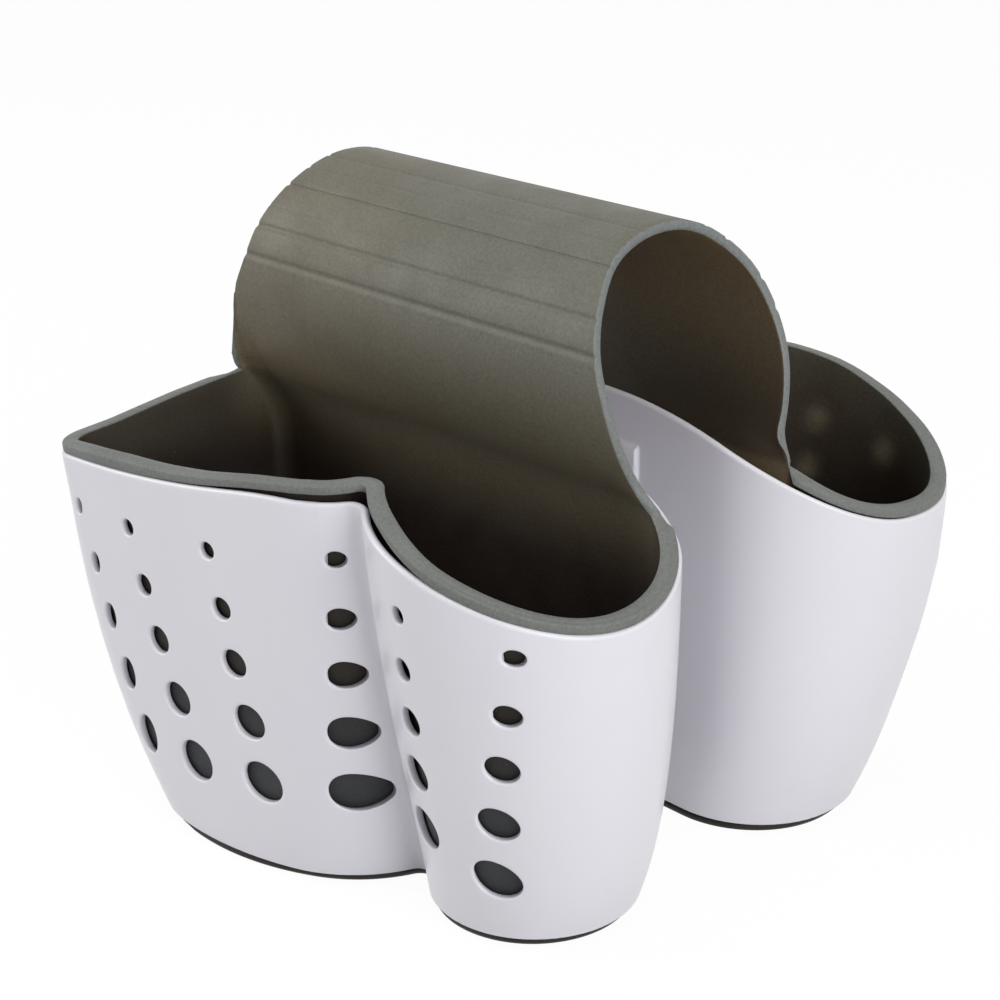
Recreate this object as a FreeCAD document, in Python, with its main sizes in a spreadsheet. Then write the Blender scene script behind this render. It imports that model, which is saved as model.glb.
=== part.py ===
import FreeCAD, Part
import math
import os
import Sketcher

# Sink caddy: two perforated pockets with flexible liners, hung either side of a sink divider
# by an arched saddle strap. X runs along the divider, the rear pocket lies at +Y, Z is up.
# The rear pocket is drawn, and the front one is its mirror image in the plane Y = 0.

SIZES = [
    ("half_gap", 12.8, "centre plane to the divider wall of a pocket"),
    ("shell_wall", 1.8, "thickness of a shell wall"),
    ("liner_wall", 2.2, "thickness of a liner wall and of the saddle strap"),
    ("liner_clearance", 0.3, "gap between shell and liner"),
    ("liner_floor", 3.0, "thickness of a liner floor"),
    ("sole_height", 2.0, "height by which the liner stands below the shell"),
    ("flange_thickness", 3.0, "thickness of the liner's rim flange"),
    ("flange_inset", 0.4, "setback of the flange from the shell's outer face"),
    ("section_top", 112.0, "height of the highest pocket section"),
    ("section_shoulder", 65.0, "height of the shoulder section"),
    ("section_waist", 30.0, "height of the waist section"),
    ("share_shoulder", 0.06, "share of the taper at the shoulder"),
    ("share_waist", 0.37, "share of the taper at the waist"),
    ("tube_radius_top", 33.0, "radius of the brush tube at its top"),
    ("tube_radius_bottom", 24.3, "radius of the brush tube at its bottom"),
    ("tube_place_top", 46.2, "centre of the brush tube at its top"),
    ("tube_place_bottom", 41.2, "centre of the brush tube at its bottom"),
    ("tray_end_top", 79.2, "end wall of the sponge tray at its top"),
    ("tray_end_bottom", 68.0, "end wall of the sponge tray at its bottom"),
    ("tray_reach_top", 82.5, "widest reach of the tray's face at its top"),
    ("tray_reach_bottom", 77.8, "widest reach of the tray's face at its bottom"),
    ("tray_widest_top", 55.0, "place of the widest reach at the top"),
    ("tray_widest_bottom", 33.0, "place of the widest reach at the bottom"),
    ("tray_face_top", 310.0, "radius of the tray's face at its top"),
    ("tray_face_bottom", 70.0, "radius of the tray's face at its bottom"),
    ("tray_corner_top", 6.0, "outer corner radius of the tray at its top"),
    ("tray_corner_bottom", 30.0, "outer corner radius of the tray at its bottom"),
    ("tray_heel_top", 7.0, "corner radius at the divider wall, top"),
    ("tray_heel_bottom", 12.0, "corner radius at the divider wall, bottom"),
    ("nose_radius_top", 18.0, "radius of the tray's nose beside the tube, top"),
    ("nose_radius_bottom", 14.0, "radius of the tray's nose beside the tube, bottom"),
    ("nose_end_top", 18.0, "end of the nose at the top"),
    ("nose_end_bottom", 12.8, "end of the nose at the bottom"),
    ("crease_radius", 6.0, "radius in the crease between tray and tube"),
    ("rim_height", 105.6, "highest line of the rim in the centre plane"),
    ("rim_crown_radius", 135.0, "radius of the rim's crown"),
    ("rim_crown_place", 9.0, "place of the rim's highest line"),
    ("rim_end_height", 92.6, "height of the rim line at the far end of its profile"),
    ("rim_profile_half", 100.0, "half length of the rim profile"),
    ("rim_tilt", 0.105, "fall of the rim for each unit of reach"),
    ("rim_overshoot", 4.0, "height by which a hollow's cut passes the rim"),
    ("rim_cut_height", 180.0, "height up to which the rim cut clears"),
    ("rim_cut_reach", 100.0, "reach of the rim cut"),
    ("crown_radius", 30.0, "outer radius of the saddle's crown"),
    ("crown_centre", 121.0, "height of the crown's centre"),
    ("haunch_radius", 44.0, "outer radius of the saddle's haunch"),
    ("neck_radius", 15.0, "radius where the strap turns into the divider wall"),
    ("neck_overlap", 5.0, "length of strap run down the divider wall"),
    ("hinge_angle", 38.0, "angle of the flex line from the crown's top"),
    ("hinge_clearance", 0.1, "gap in the flex line's rounded seat"),
    ("strap_crown_left", 66.0, "left edge of the strap over the crown"),
    ("strap_crown_right", 41.5, "right edge of the strap over the crown"),
    ("strap_flare_height", 147.0, "height at which the strap starts to flare"),
    ("strap_neck_left", 71.0, "left edge of the strap at its neck"),
    ("strap_neck_right", 57.0, "right edge of the strap at its neck"),
    ("strap_neck_height", 98.0, "height at which the flare ends"),
    ("groove_radius", 0.6, "radius of a flex groove"),
    ("pad_thickness", 0.8, "height of the pad on the divider wall"),
    ("pad_left", 6.0, "left edge of the pad, left of the origin"),
    ("pad_right", 22.5, "right edge of the pad"),
    ("pad_top", 91.4, "top of the pad"),
    ("pad_bottom", 62.0, "bottom of the pad"),
    ("pad_root", 0.6, "depth of the pad's root in the wall"),
    ("hole_cut_reach", 40.0, "reach at which the hole cuts begin"),
    ("hole_cut_length", 60.0, "length of a hole cut"),
]

# Arc lengths from the crown's top to the flex grooves, on the crown and on the legs.
CROWN_GROOVES = [5.8, 12.6]
LEG_GROOVES = [26.6, 32.2, 38.5]

# Hole diameters and heights, from the top row to the bottom row.
HOLE_ROWS = [(4.0, 76.5), (5.4, 63.5), (6.8, 50.8), (8.4, 36.8), (10.2, 22.2)]
# Hole columns: place at the top row, place at the bottom row, lift above the row height.
HOLE_COLUMNS = [
    (-71.5, -48.6, -0.4),
    (-49.0, -30.6, -0.4),
    (-21.0, -9.2, 1.2),
    (13.6, 12.6, 5.2),
    (43.2, 44.9, 6.0),
    (68.4, 58.7, 0.9),
]

doc = FreeCAD.newDocument("SinkCaddy")
sheet = doc.addObject("Spreadsheet::Sheet", "Sizes")
for row, (alias, number, meaning) in enumerate(SIZES, start=1):
    sheet.set(f"A{row}", meaning)
    sheet.set(f"B{row}", str(number))
    sheet.setAlias(f"B{row}", alias)
doc.recompute()


class Dim:
    """A size: its number, and the sheet expression that drives it."""

    def __init__(self, number, text):
        self.number = number
        self.text = text

    def __add__(self, other):
        return Dim(self.number + other.number, f"({self.text} + {other.text})")

    def __sub__(self, other):
        return Dim(self.number - other.number, f"({self.text} - {other.text})")

    def __mul__(self, other):
        return Dim(self.number * other.number, f"({self.text} * {other.text})")


def size(alias):
    return Dim(float(sheet.get(alias)), f"Sizes.{alias}")


def constant(number):
    return Dim(number, f"{number}")


def bind(item, **dims):
    """Bind properties to sizes; a double underscore in a name stands for a dot."""
    for name, dim in dims.items():
        item.setExpression(name.replace("__", "."), dim.text)


def feature(kind, name, **properties):
    item = doc.addObject(kind, name)
    for key, value in properties.items():
        setattr(item, key, value)
    return item


def cut(name, base, tool):
    return feature("Part::Cut", name, Base=base, Tool=tool)


def fuse(name, shapes):
    return feature("Part::MultiFuse", name, Shapes=shapes)


def common(name, shapes):
    return feature("Part::MultiCommon", name, Shapes=shapes)


ZERO = constant(0.0)
UPRIGHT = FreeCAD.Rotation(FreeCAD.Vector(1, 0, 0), 90)

SECTIONS = [
    ("bottom", ZERO, constant(1.0)),
    ("waist", size("section_waist"), size("share_waist")),
    ("shoulder", size("section_shoulder"), size("share_shoulder")),
    ("top", size("section_top"), ZERO),
]

LINER_INSET = size("shell_wall") + size("liner_clearance")
SPACE_INSET = LINER_INSET + size("liner_wall")


def tapered(word, share):
    """A size between its top and bottom values."""
    top = size(f"{word}_top")
    return top + (size(f"{word}_bottom") - top) * share


# Sketch helpers

def vec(x, y):
    return FreeCAD.Vector(x, y, 0)


def add_line(sketch, start, end):
    return sketch.addGeometry(Part.LineSegment(vec(*start), vec(*end)), False)


def add_arc(sketch, centre, radius, start, end):
    circle = Part.Circle(vec(*centre), FreeCAD.Vector(0, 0, 1), radius)
    return sketch.addGeometry(Part.ArcOfCircle(circle, start, end), False)


def join(sketch, kind, first, first_end, second, second_end):
    sketch.addConstraint(Sketcher.Constraint(kind, first, first_end, second, second_end))


def across(sketch, name, item, point, dim):
    """Distance along X from the origin, to the side on which the point lies."""
    x = sketch.getPoint(item, point).x
    ends = (-1, 1, item, point) if x >= 0 else (item, point, -1, 1)
    drive(sketch, name, Sketcher.Constraint("DistanceX", *ends, dim.number), dim)


def along(sketch, name, item, point, dim):
    """Distance along Y above the origin."""
    drive(sketch, name, Sketcher.Constraint("DistanceY", -1, 1, item, point, dim.number), dim)


def radius(sketch, name, item, dim):
    drive(sketch, name, Sketcher.Constraint("Radius", item, dim.number), dim)


def drive(sketch, name, constraint, dim):
    index = sketch.addConstraint(constraint)
    sketch.renameConstraint(index, name)
    sketch.setExpression(f"Constraints.{name}", dim.text)


def mark(sketch, kind, arc, point):
    """Tie a construction point to an arc, straight above or beside its centre."""
    sketch.addConstraint(Sketcher.Constraint("PointOnObject", point, 1, arc))
    sketch.addConstraint(Sketcher.Constraint(kind, arc, 3, point, 1))


def turn(centre, point):
    return math.atan2(point[1] - centre[1], point[0] - centre[0])


def inside_face(face_at, face_radius, arc_radius, x):
    """Centre, at a given x, of an arc that touches the face from inside."""
    gap = face_radius.number - arc_radius.number
    return (x, face_at[1] + math.sqrt(gap ** 2 - (x - face_at[0]) ** 2))


def meeting(first, first_distance, second, second_distance):
    """The outer point at given distances from two points."""
    span = math.dist(first, second)
    run = (span ** 2 + first_distance ** 2 - second_distance ** 2) / (2 * span)
    rise = math.sqrt(first_distance ** 2 - run ** 2)
    heading = turn(first, second)
    return (
        first[0] + run * math.cos(heading) - rise * math.sin(heading),
        first[1] + run * math.sin(heading) + rise * math.cos(heading),
    )


# Pocket sections: a sponge tray with a rounded nose, a crease, and a round brush tube

def pocket_outline(name, height, share, inset):
    end = tapered("tray_end", share) - inset
    reach = tapered("tray_reach", share) - inset
    widest = tapered("tray_widest", share)
    face_radius = tapered("tray_face", share) - inset
    corner_radius = tapered("tray_corner", share) - inset
    heel_radius = tapered("tray_heel", share) - inset
    nose_radius = tapered("nose_radius", share) - inset
    nose_end = tapered("nose_end", share) - inset
    crease_radius = size("crease_radius") + inset
    tube_radius = tapered("tube_radius", share) - inset
    tube_place = tapered("tube_place", share)
    inner = size("half_gap") + inset

    face_at = (-widest.number, reach.number - face_radius.number)
    corner_at = inside_face(face_at, face_radius, corner_radius, corner_radius.number - end.number)
    nose_at = inside_face(face_at, face_radius, nose_radius, nose_end.number - nose_radius.number)
    heel_at = (heel_radius.number - end.number, inner.number + heel_radius.number)
    tube_at = (tube_place.number, inner.number + tube_radius.number)
    crease_at = meeting(
        nose_at,
        nose_radius.number + crease_radius.number,
        tube_at,
        tube_radius.number + crease_radius.number,
    )

    sketch = doc.addObject("Sketcher::SketchObject", name)
    bind(sketch, Placement__Base__z=height)
    wall = add_line(sketch, (tube_at[0], inner.number), (heel_at[0], inner.number))
    heel = add_arc(sketch, heel_at, heel_radius.number, math.pi, 1.5 * math.pi)
    end_wall = add_line(sketch, (-end.number, heel_at[1]), (-end.number, corner_at[1]))
    corner = add_arc(sketch, corner_at, corner_radius.number, turn(face_at, corner_at), math.pi)
    face = add_arc(sketch, face_at, face_radius.number, turn(face_at, nose_at), turn(face_at, corner_at))
    nose = add_arc(sketch, nose_at, nose_radius.number, turn(nose_at, crease_at), turn(face_at, nose_at))
    crease_turns = (turn(crease_at, nose_at), turn(crease_at, tube_at))
    crease = add_arc(sketch, crease_at, crease_radius.number, *crease_turns)
    tube = add_arc(sketch, tube_at, tube_radius.number, -0.5 * math.pi, turn(tube_at, crease_at))
    widest_point = sketch.addGeometry(Part.Point(vec(face_at[0], reach.number)), True)
    nose_point = sketch.addGeometry(Part.Point(vec(nose_end.number, nose_at[1])), True)

    join(sketch, "Tangent", wall, 2, heel, 2)
    join(sketch, "Tangent", heel, 1, end_wall, 1)
    join(sketch, "Tangent", end_wall, 2, corner, 2)
    join(sketch, "Tangent", corner, 1, face, 2)
    join(sketch, "Tangent", face, 1, nose, 2)
    join(sketch, "Tangent", nose, 1, crease, 1)
    join(sketch, "Tangent", crease, 2, tube, 2)
    join(sketch, "Tangent", tube, 1, wall, 1)
    sketch.addConstraint(Sketcher.Constraint("Horizontal", wall))
    sketch.addConstraint(Sketcher.Constraint("Vertical", end_wall))
    mark(sketch, "Vertical", face, widest_point)
    mark(sketch, "Horizontal", nose, nose_point)
    along(sketch, "divider_wall", wall, 1, inner)
    across(sketch, "end_wall", end_wall, 1, end)
    across(sketch, "widest", widest_point, 1, widest)
    along(sketch, "reach", widest_point, 1, reach)
    across(sketch, "nose_end", nose_point, 1, nose_end)
    across(sketch, "tube_place", tube, 3, tube_place)
    radius(sketch, "heel", heel, heel_radius)
    radius(sketch, "corner", corner, corner_radius)
    radius(sketch, "face", face, face_radius)
    radius(sketch, "nose", nose, nose_radius)
    radius(sketch, "crease", crease, crease_radius)
    radius(sketch, "tube", tube, tube_radius)
    return sketch


# Everything above the rim, raised by a lift

def above_rim(name, lift):
    half = size("rim_profile_half")
    crown = size("rim_crown_radius")
    place = size("rim_crown_place")
    height = size("rim_height") + lift
    end_height = size("rim_end_height") + lift
    top = size("rim_cut_height")

    centre = (place.number, height.number - crown.number)
    drop = centre[1] - end_height.number
    distance = math.hypot(place.number + half.number, drop)
    bearing = math.atan2(-drop, -half.number - place.number)
    tangent_turn = bearing - math.acos(crown.number / distance)
    tangent = (
        centre[0] + crown.number * math.cos(tangent_turn),
        centre[1] + crown.number * math.sin(tangent_turn),
    )
    right_turn = math.acos((half.number - place.number) / crown.number)
    right_y = centre[1] + crown.number * math.sin(right_turn)

    sketch = doc.addObject("Sketcher::SketchObject", f"{name}_profile")
    sketch.Placement = FreeCAD.Placement(FreeCAD.Vector(), UPRIGHT)
    ramp = add_line(sketch, (-half.number, end_height.number), tangent)
    arc = add_arc(sketch, centre, crown.number, right_turn, tangent_turn)
    right = add_line(sketch, (half.number, right_y), (half.number, top.number))
    roof = add_line(sketch, (half.number, top.number), (-half.number, top.number))
    left = add_line(sketch, (-half.number, top.number), (-half.number, end_height.number))
    highest = sketch.addGeometry(Part.Point(vec(centre[0], height.number)), True)

    join(sketch, "Tangent", ramp, 2, arc, 2)
    join(sketch, "Coincident", arc, 1, right, 1)
    join(sketch, "Coincident", right, 2, roof, 1)
    join(sketch, "Coincident", roof, 2, left, 1)
    join(sketch, "Coincident", left, 2, ramp, 1)
    sketch.addConstraint(Sketcher.Constraint("Vertical", right))
    sketch.addConstraint(Sketcher.Constraint("Vertical", left))
    sketch.addConstraint(Sketcher.Constraint("Horizontal", roof))
    mark(sketch, "Vertical", arc, highest)
    across(sketch, "left_end", left, 1, half)
    across(sketch, "right_end", right, 1, half)
    along(sketch, "roof", roof, 1, top)
    along(sketch, "end_height", ramp, 1, end_height)
    along(sketch, "height", highest, 1, height)
    across(sketch, "place", highest, 1, place)
    radius(sketch, "crown", arc, crown)

    solid = feature("Part::Extrusion", name, Base=sketch, DirMode="Custom", Solid=True)
    solid.Dir = FreeCAD.Vector(0, 1, -size("rim_tilt").number)
    bind(solid, Dir__z=ZERO - size("rim_tilt"), LengthFwd=size("rim_cut_reach"))
    return solid


def pocket(name, inset, lift):
    """A pocket's solid form, set in from the shell's outer face and cut off at the rim."""
    outlines = [pocket_outline(f"{name}_{word}", *place, inset) for word, *place in SECTIONS]
    form = feature("Part::Loft", f"{name}_form", Sections=outlines, Solid=True, Ruled=False)
    return cut(name, form, above_rim(f"{name}_rim", lift))


# Saddle strap: crown, haunch and neck, as a band across the divider

def polar(centre, distance, turn):
    return (centre[0] + distance * math.cos(turn), centre[1] + distance * math.sin(turn))


def strap_places():
    """Centres and turns of the strap's outer arcs, in reach and height."""
    crown = size("crown_radius").number
    haunch = size("haunch_radius").number
    neck = size("neck_radius").number
    wall = (size("half_gap") + SPACE_INSET).number
    crown_centre = (0.0, size("crown_centre").number)
    haunch_centre = (crown - haunch, crown_centre[1])
    neck_x = wall + neck
    fall = math.sqrt((haunch + neck) ** 2 - (neck_x - haunch_centre[0]) ** 2)
    neck_centre = (neck_x, haunch_centre[1] - fall)
    haunch_turn = math.atan2(-fall, neck_x - haunch_centre[0])
    hinge_turn = math.radians(90.0 - size("hinge_angle").number)
    return crown_centre, haunch_centre, neck_centre, haunch_turn, hinge_turn


CROWN_CENTRE, HAUNCH_CENTRE, NECK_CENTRE, HAUNCH_TURN, HINGE_TURN = strap_places()
HALF_WALL = 0.5 * size("liner_wall").number
HINGE = polar(CROWN_CENTRE, size("crown_radius").number - HALF_WALL, HINGE_TURN)


def band_edges(depth):
    """The leg's face at a depth below its outer side, from the flex line down."""
    crown = size("crown_radius").number - depth
    haunch = size("haunch_radius").number - depth
    neck = size("neck_radius").number + depth
    low = (NECK_CENTRE[0] - neck, NECK_CENTRE[1] - size("neck_overlap").number)
    return [
        [polar(CROWN_CENTRE, crown, turn) for turn in (HINGE_TURN, 0.5 * HINGE_TURN, 0.0)],
        [polar(HAUNCH_CENTRE, haunch, turn) for turn in (0.0, 0.5 * HAUNCH_TURN, HAUNCH_TURN)],
        [polar(NECK_CENTRE, neck, math.pi + turn) for turn in (HAUNCH_TURN, 0.5 * HAUNCH_TURN, 0.0)],
        [(NECK_CENTRE[0] - neck, NECK_CENTRE[1]), low],
    ]


def profile_edge(points):
    spots = [FreeCAD.Vector(0, y, z) for y, z in points]
    if len(spots) == 2:
        return Part.LineSegment(*spots).toShape()
    return Part.Arc(*spots).toShape()


def strap_band(name, loops):
    """A closed strap profile, drawn in the plane X = 0."""
    edges = [profile_edge(points) for points in loops]
    wire = Part.Wire(Part.__sortEdges__(edges))
    profile = doc.addObject("Part::Feature", f"{name}_profile")
    profile.Shape = Part.Face(wire)
    band = feature("Part::Extrusion", name, Base=profile, DirMode="Custom", Solid=True)
    band.Dir = FreeCAD.Vector(1, 0, 0)
    bind(band, LengthFwd=size("rim_profile_half"), LengthRev=size("rim_profile_half"))
    return band


def strap_outline():
    """The strap seen along Y: straight over the crown, flared down to the neck."""
    foot = ZERO
    top = size("rim_cut_height")
    corners = [
        (ZERO - size("strap_crown_left"), top),
        (ZERO - size("strap_crown_left"), size("strap_flare_height")),
        (ZERO - size("strap_neck_left"), size("strap_neck_height")),
        (ZERO - size("strap_neck_left"), foot),
        (size("strap_neck_right"), foot),
        (size("strap_neck_right"), size("strap_neck_height")),
        (size("strap_crown_right"), size("strap_flare_height")),
        (size("strap_crown_right"), top),
    ]
    points = [FreeCAD.Vector(x.number, 0, z.number) for x, z in corners]
    outline = doc.addObject("Part::Feature", "strap_outline")
    outline.Shape = Part.Face(Part.makePolygon(points + points[:1]))
    block = feature("Part::Extrusion", "strap_block", Base=outline, DirMode="Custom", Solid=True)
    block.Dir = FreeCAD.Vector(0, 1, 0)
    bind(block, LengthFwd=size("rim_cut_reach"), LengthRev=size("rim_cut_reach"))
    return block


def rod(name, reach, height, rod_radius):
    """A round bar along X, the whole length of the strap."""
    bar = doc.addObject("Part::Cylinder", name)
    bind(bar, Radius=rod_radius, Height=size("rim_profile_half") + size("rim_profile_half"))
    start = FreeCAD.Vector(-size("rim_profile_half").number, reach, height)
    bar.Placement = FreeCAD.Placement(start, FreeCAD.Rotation(FreeCAD.Vector(0, 1, 0), 90))
    return bar


def groove_rods(name, lengths, signs):
    """Bars on the strap's outer face, at arc lengths from the crown's top."""
    crown = size("crown_radius").number
    haunch = size("haunch_radius").number
    quarter = 0.5 * math.pi * crown
    bars = []
    for length in lengths:
        if length < quarter:
            reach, height = polar(CROWN_CENTRE, crown, 0.5 * math.pi - length / crown)
        else:
            reach, height = polar(HAUNCH_CENTRE, haunch, -(length - quarter) / haunch)
        for sign in signs:
            bars.append(rod(f"{name}_{len(bars)}", sign * reach, height, size("groove_radius")))
    return feature("Part::Compound", name, Links=bars)


def box(name, low, high):
    """A block between two corners given as sizes."""
    block = doc.addObject("Part::Box", name)
    bind(
        block,
        Length=high[0] - low[0],
        Width=high[1] - low[1],
        Height=high[2] - low[2],
        Placement__Base__x=low[0],
        Placement__Base__y=low[1],
        Placement__Base__z=low[2],
    )
    return block


def mirrored(source, label):
    piece = feature("Part::Mirroring", label, Source=source, Normal=FreeCAD.Vector(0, 1, 0))
    piece.Label = label
    return piece


# Shell

HALF = size("rim_profile_half")
REACH = size("rim_cut_reach")
ROOF = size("rim_cut_height")


def hole_cuts():
    """Round cuts along Y, in columns that lean with the pocket's taper."""
    cuts = []
    last = len(HOLE_ROWS) - 1
    for top_place, bottom_place, lift in HOLE_COLUMNS:
        for index, (diameter, height) in enumerate(HOLE_ROWS):
            place = top_place + (bottom_place - top_place) * index / last
            hole = doc.addObject("Part::Cylinder", f"hole_{len(cuts)}")
            hole.Radius = 0.5 * diameter
            bind(hole, Height=size("hole_cut_length"), Placement__Base__y=size("hole_cut_reach"))
            start = FreeCAD.Vector(place, size("hole_cut_reach").number, height + lift)
            hole.Placement = FreeCAD.Placement(start, FreeCAD.Rotation(FreeCAD.Vector(1, 0, 0), -90))
            cuts.append(hole)
    return feature("Part::Compound", "hole_cuts", Links=cuts)


OVERSHOOT = size("rim_overshoot")
outer = pocket("shell_outside", ZERO, ZERO)
inner = pocket("shell_inside", size("shell_wall"), OVERSHOOT)
under_shell = box("under_shell", (ZERO - HALF, ZERO, ZERO - HALF), (HALF, REACH, size("sole_height")))
pad = box(
    "divider_pad",
    (ZERO - size("pad_left"), size("half_gap") - size("pad_thickness"), size("pad_bottom")),
    (size("pad_right"), size("half_gap") + size("pad_root"), size("pad_top")),
)
hollow = cut("shell_hollow", outer, inner)
raised = cut("shell_raised", hollow, under_shell)
padded = fuse("shell_padded", [raised, pad])
rear_shell = cut("rear_shell", padded, hole_cuts())

# Liner: cup, rim flange, and the strap's leg up to the flex line

SEAT = size("liner_clearance")
FLANGE_TOP = SEAT + size("flange_thickness")
cup = pocket("liner_outside", LINER_INSET, SEAT)
flange_blank = pocket("flange_outside", size("flange_inset"), FLANGE_TOP)
above_seat = above_rim("above_seat", SEAT)
flange = common("liner_flange", [flange_blank, above_seat])
space = pocket("pocket_inside", SPACE_INSET, FLANGE_TOP + OVERSHOOT)
under_floor = box("under_floor", (ZERO - HALF, ZERO, ZERO - HALF), (HALF, REACH, size("liner_floor")))
cavity = cut("pocket_space", space, under_floor)
open_cup = cut("liner_open", fuse("liner_blank", [cup, flange]), cavity)

strap_block = strap_outline()
outer_side = band_edges(0.0)
inner_side = band_edges(size("liner_wall").number)
hinge_line = [outer_side[0][0], inner_side[0][0]]
foot_line = [outer_side[-1][-1], inner_side[-1][-1]]
leg_band = strap_band("leg_band", outer_side + inner_side + [hinge_line, foot_line])
knuckle = rod("knuckle", *HINGE, size("liner_wall") * constant(0.5))
leg_blank = common("leg_blank", [fuse("leg_round", [leg_band, knuckle]), strap_block])
grooved = cut("leg_grooved", leg_blank, groove_rods("leg_grooves", LEG_GROOVES, [1]))
strap_room = fuse("strap_room", [cup, above_seat])
leg = common("leg", [grooved, strap_room])
NECK_HEIGHT = constant(NECK_CENTRE[1])
window = box(
    "strap_window",
    (ZERO - size("strap_neck_left"), ZERO, NECK_HEIGHT),
    (size("tube_place_top"), size("half_gap") + SPACE_INSET + size("liner_wall"), ROOF),
)
rear_liner = fuse("rear_liner", [cut("liner_windowed", open_cup, window), leg])

# Crown of the saddle, with a rounded seat for each leg

crown_turns = (HINGE_TURN, 0.5 * math.pi, math.pi - HINGE_TURN)
crown_outer = [polar(CROWN_CENTRE, size("crown_radius").number, turn) for turn in crown_turns]
crown_inner = [polar(CROWN_CENTRE, size("crown_radius").number - 2 * HALF_WALL, turn) for turn in crown_turns]
crown_ends = [[crown_outer[end], crown_inner[end]] for end in (0, -1)]
crown_band = strap_band("crown_band", [crown_outer, crown_inner] + crown_ends)
crown_blank = common("crown_blank", [crown_band, strap_block])
seat_radius = size("liner_wall") * constant(0.5) + size("hinge_clearance")
seats = [
    rod("seat_rear", HINGE[0], HINGE[1], seat_radius),
    rod("seat_front", -HINGE[0], HINGE[1], seat_radius),
]
seated = cut("crown_seated", crown_blank, feature("Part::Compound", "crown_seats", Links=seats))
saddle_crown = cut("saddle_crown", seated, groove_rods("crown_grooves", CROWN_GROOVES, [1, -1]))

pieces = [
    saddle_crown,
    rear_liner,
    rear_shell,
    mirrored(rear_liner, "front_liner"),
    mirrored(rear_shell, "front_shell"),
]
for piece in pieces:
    piece.Label = piece.Name
doc.recompute()

for item in doc.Objects:
    if "Invalid" in item.State or "Error" in item.State:
        raise RuntimeError(f"{item.Name} failed: {item.State}")
for piece in pieces:
    if piece.Shape.isNull() or not piece.Shape.isValid() or len(piece.Shape.Solids) != 1:
        raise RuntimeError(f"{piece.Label} is not one sound solid")

os.makedirs("parts", exist_ok=True)
for piece in pieces:
    piece.Shape.exportStep(f"parts/{piece.Label}.step")
    bounds = piece.Shape.BoundBox
    print(piece.Label, round(piece.Shape.Volume), bounds)
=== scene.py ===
"""Saddle caddy for a sink divider.

Two pierced white shells, each with a soft grey liner, joined by a grooved strap.
"""
import math
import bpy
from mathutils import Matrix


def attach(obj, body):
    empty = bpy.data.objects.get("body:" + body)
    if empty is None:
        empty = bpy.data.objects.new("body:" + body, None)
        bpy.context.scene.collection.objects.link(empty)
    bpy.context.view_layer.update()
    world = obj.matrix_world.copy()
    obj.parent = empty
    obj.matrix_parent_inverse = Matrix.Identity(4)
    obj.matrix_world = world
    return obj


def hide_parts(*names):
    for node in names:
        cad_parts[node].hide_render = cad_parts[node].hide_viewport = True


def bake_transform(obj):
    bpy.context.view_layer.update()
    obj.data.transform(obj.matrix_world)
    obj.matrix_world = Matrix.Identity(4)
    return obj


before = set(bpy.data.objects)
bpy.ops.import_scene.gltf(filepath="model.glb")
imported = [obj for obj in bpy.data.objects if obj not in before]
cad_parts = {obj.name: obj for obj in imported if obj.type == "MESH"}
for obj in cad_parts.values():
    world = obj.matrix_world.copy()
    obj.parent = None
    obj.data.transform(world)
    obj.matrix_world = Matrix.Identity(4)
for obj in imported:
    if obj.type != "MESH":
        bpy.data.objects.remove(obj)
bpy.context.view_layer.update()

from types import SimpleNamespace

import bmesh
import bpy
import numpy as np
from bpy.props import FloatProperty, FloatVectorProperty, PointerProperty
from mathutils import Vector

bl_info = {
    "name": "Saddle sink caddy",
    "version": (1, 0, 0),
    "blender": (4, 5, 0),
    "location": "3D View > Sidebar > Caddy",
    "description": "Builds the shells, the liners, the strap and the studio of a saddle sink caddy",
    "category": "Object",
}

MM = 0.001

# Lengths are in millimetres. A name that ends in RUN holds where a smooth change starts and how far it takes;
# a start below 0 is counted backwards.
# The pocket's plan: each pair is at the rim's level and at the foot, and a taper is the power between the two.
LEVEL = 112.0
TAPER = 3.2
CORNER_TAPER = 1.7
TUBE_TAPER = 2.64
TUBE_REACH_TAPER = 1.58
TUBE_PLACE_TAPER = 6.5
FACE_MIDDLE = (-55.0, -29.4)
FACE_RADIUS = (310.0, 62.3)
CORNER_RADIUS = (7.0, 36.0)
END_FLARE = 1.2
END_FLARE_RUN = (76.0, 14.0)
HEEL_RADIUS = (9.0, 14.0)
NOSE_RADIUS = (18.0, 34.0)
NOSE_END = (20.5, 19.2)
SHELL_CREASE = (3.5, 3.0)
LINER_CREASE = (0.5, 3.0)
FOOT_END = 68.0
FOOT_REACH = 79.6
FOOT_TUBE_PLACE = 40.7
FOOT_TUBE_RADIUS = 23.0
FOOT_TUBE_REACH = 61.4
LOBE_TURN = math.radians(34.0)
# The rear round end is fuller than the front one: by how much at each height.
BULGE_HEIGHTS = (0.0, 15.0, 30.0, 50.0, 65.0, 85.0, 100.0)
BULGE_SIZES = (0.8, 0.9, 1.3, 2.6, 3.1, 2.0, 1.6)

# The rim is an arc over the tube that runs out in a line to the tray's end, lower towards the front.
# The line curves up a little at the end: from which place, over what length, and with what power.
RIM_RADIUS = 135.0
RIM_TOP_PLACE = 9.0
RIM_LINE_START = (-100.0, 91.3)
RIM_TILT = 0.105
RIM_END_LIFT = 2.3
RIM_LIFT_START = -20.0
RIM_LIFT_LENGTH = 58.0
RIM_LIFT_POWER = 1.6
# A first guess of the rim's height, from which it is found in a few rounds.
RIM_GUESS = 95.0
# The rear rim stands higher than the front one along its far side.
REAR_LIFT_PLACES = (-20.0, 15.0, 22.0, 27.0, 32.0, 36.0, 42.0, 48.0, 54.0, 58.0, 64.0, 70.0)
REAR_LIFT_SIZES = (0.0, 5.0, 4.6, 4.1, 3.7, 3.2, 2.2, 1.7, 1.2, 1.0, 0.5, 0.0)
REAR_LIFT_RUN = (40.0, 25.0)

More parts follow.
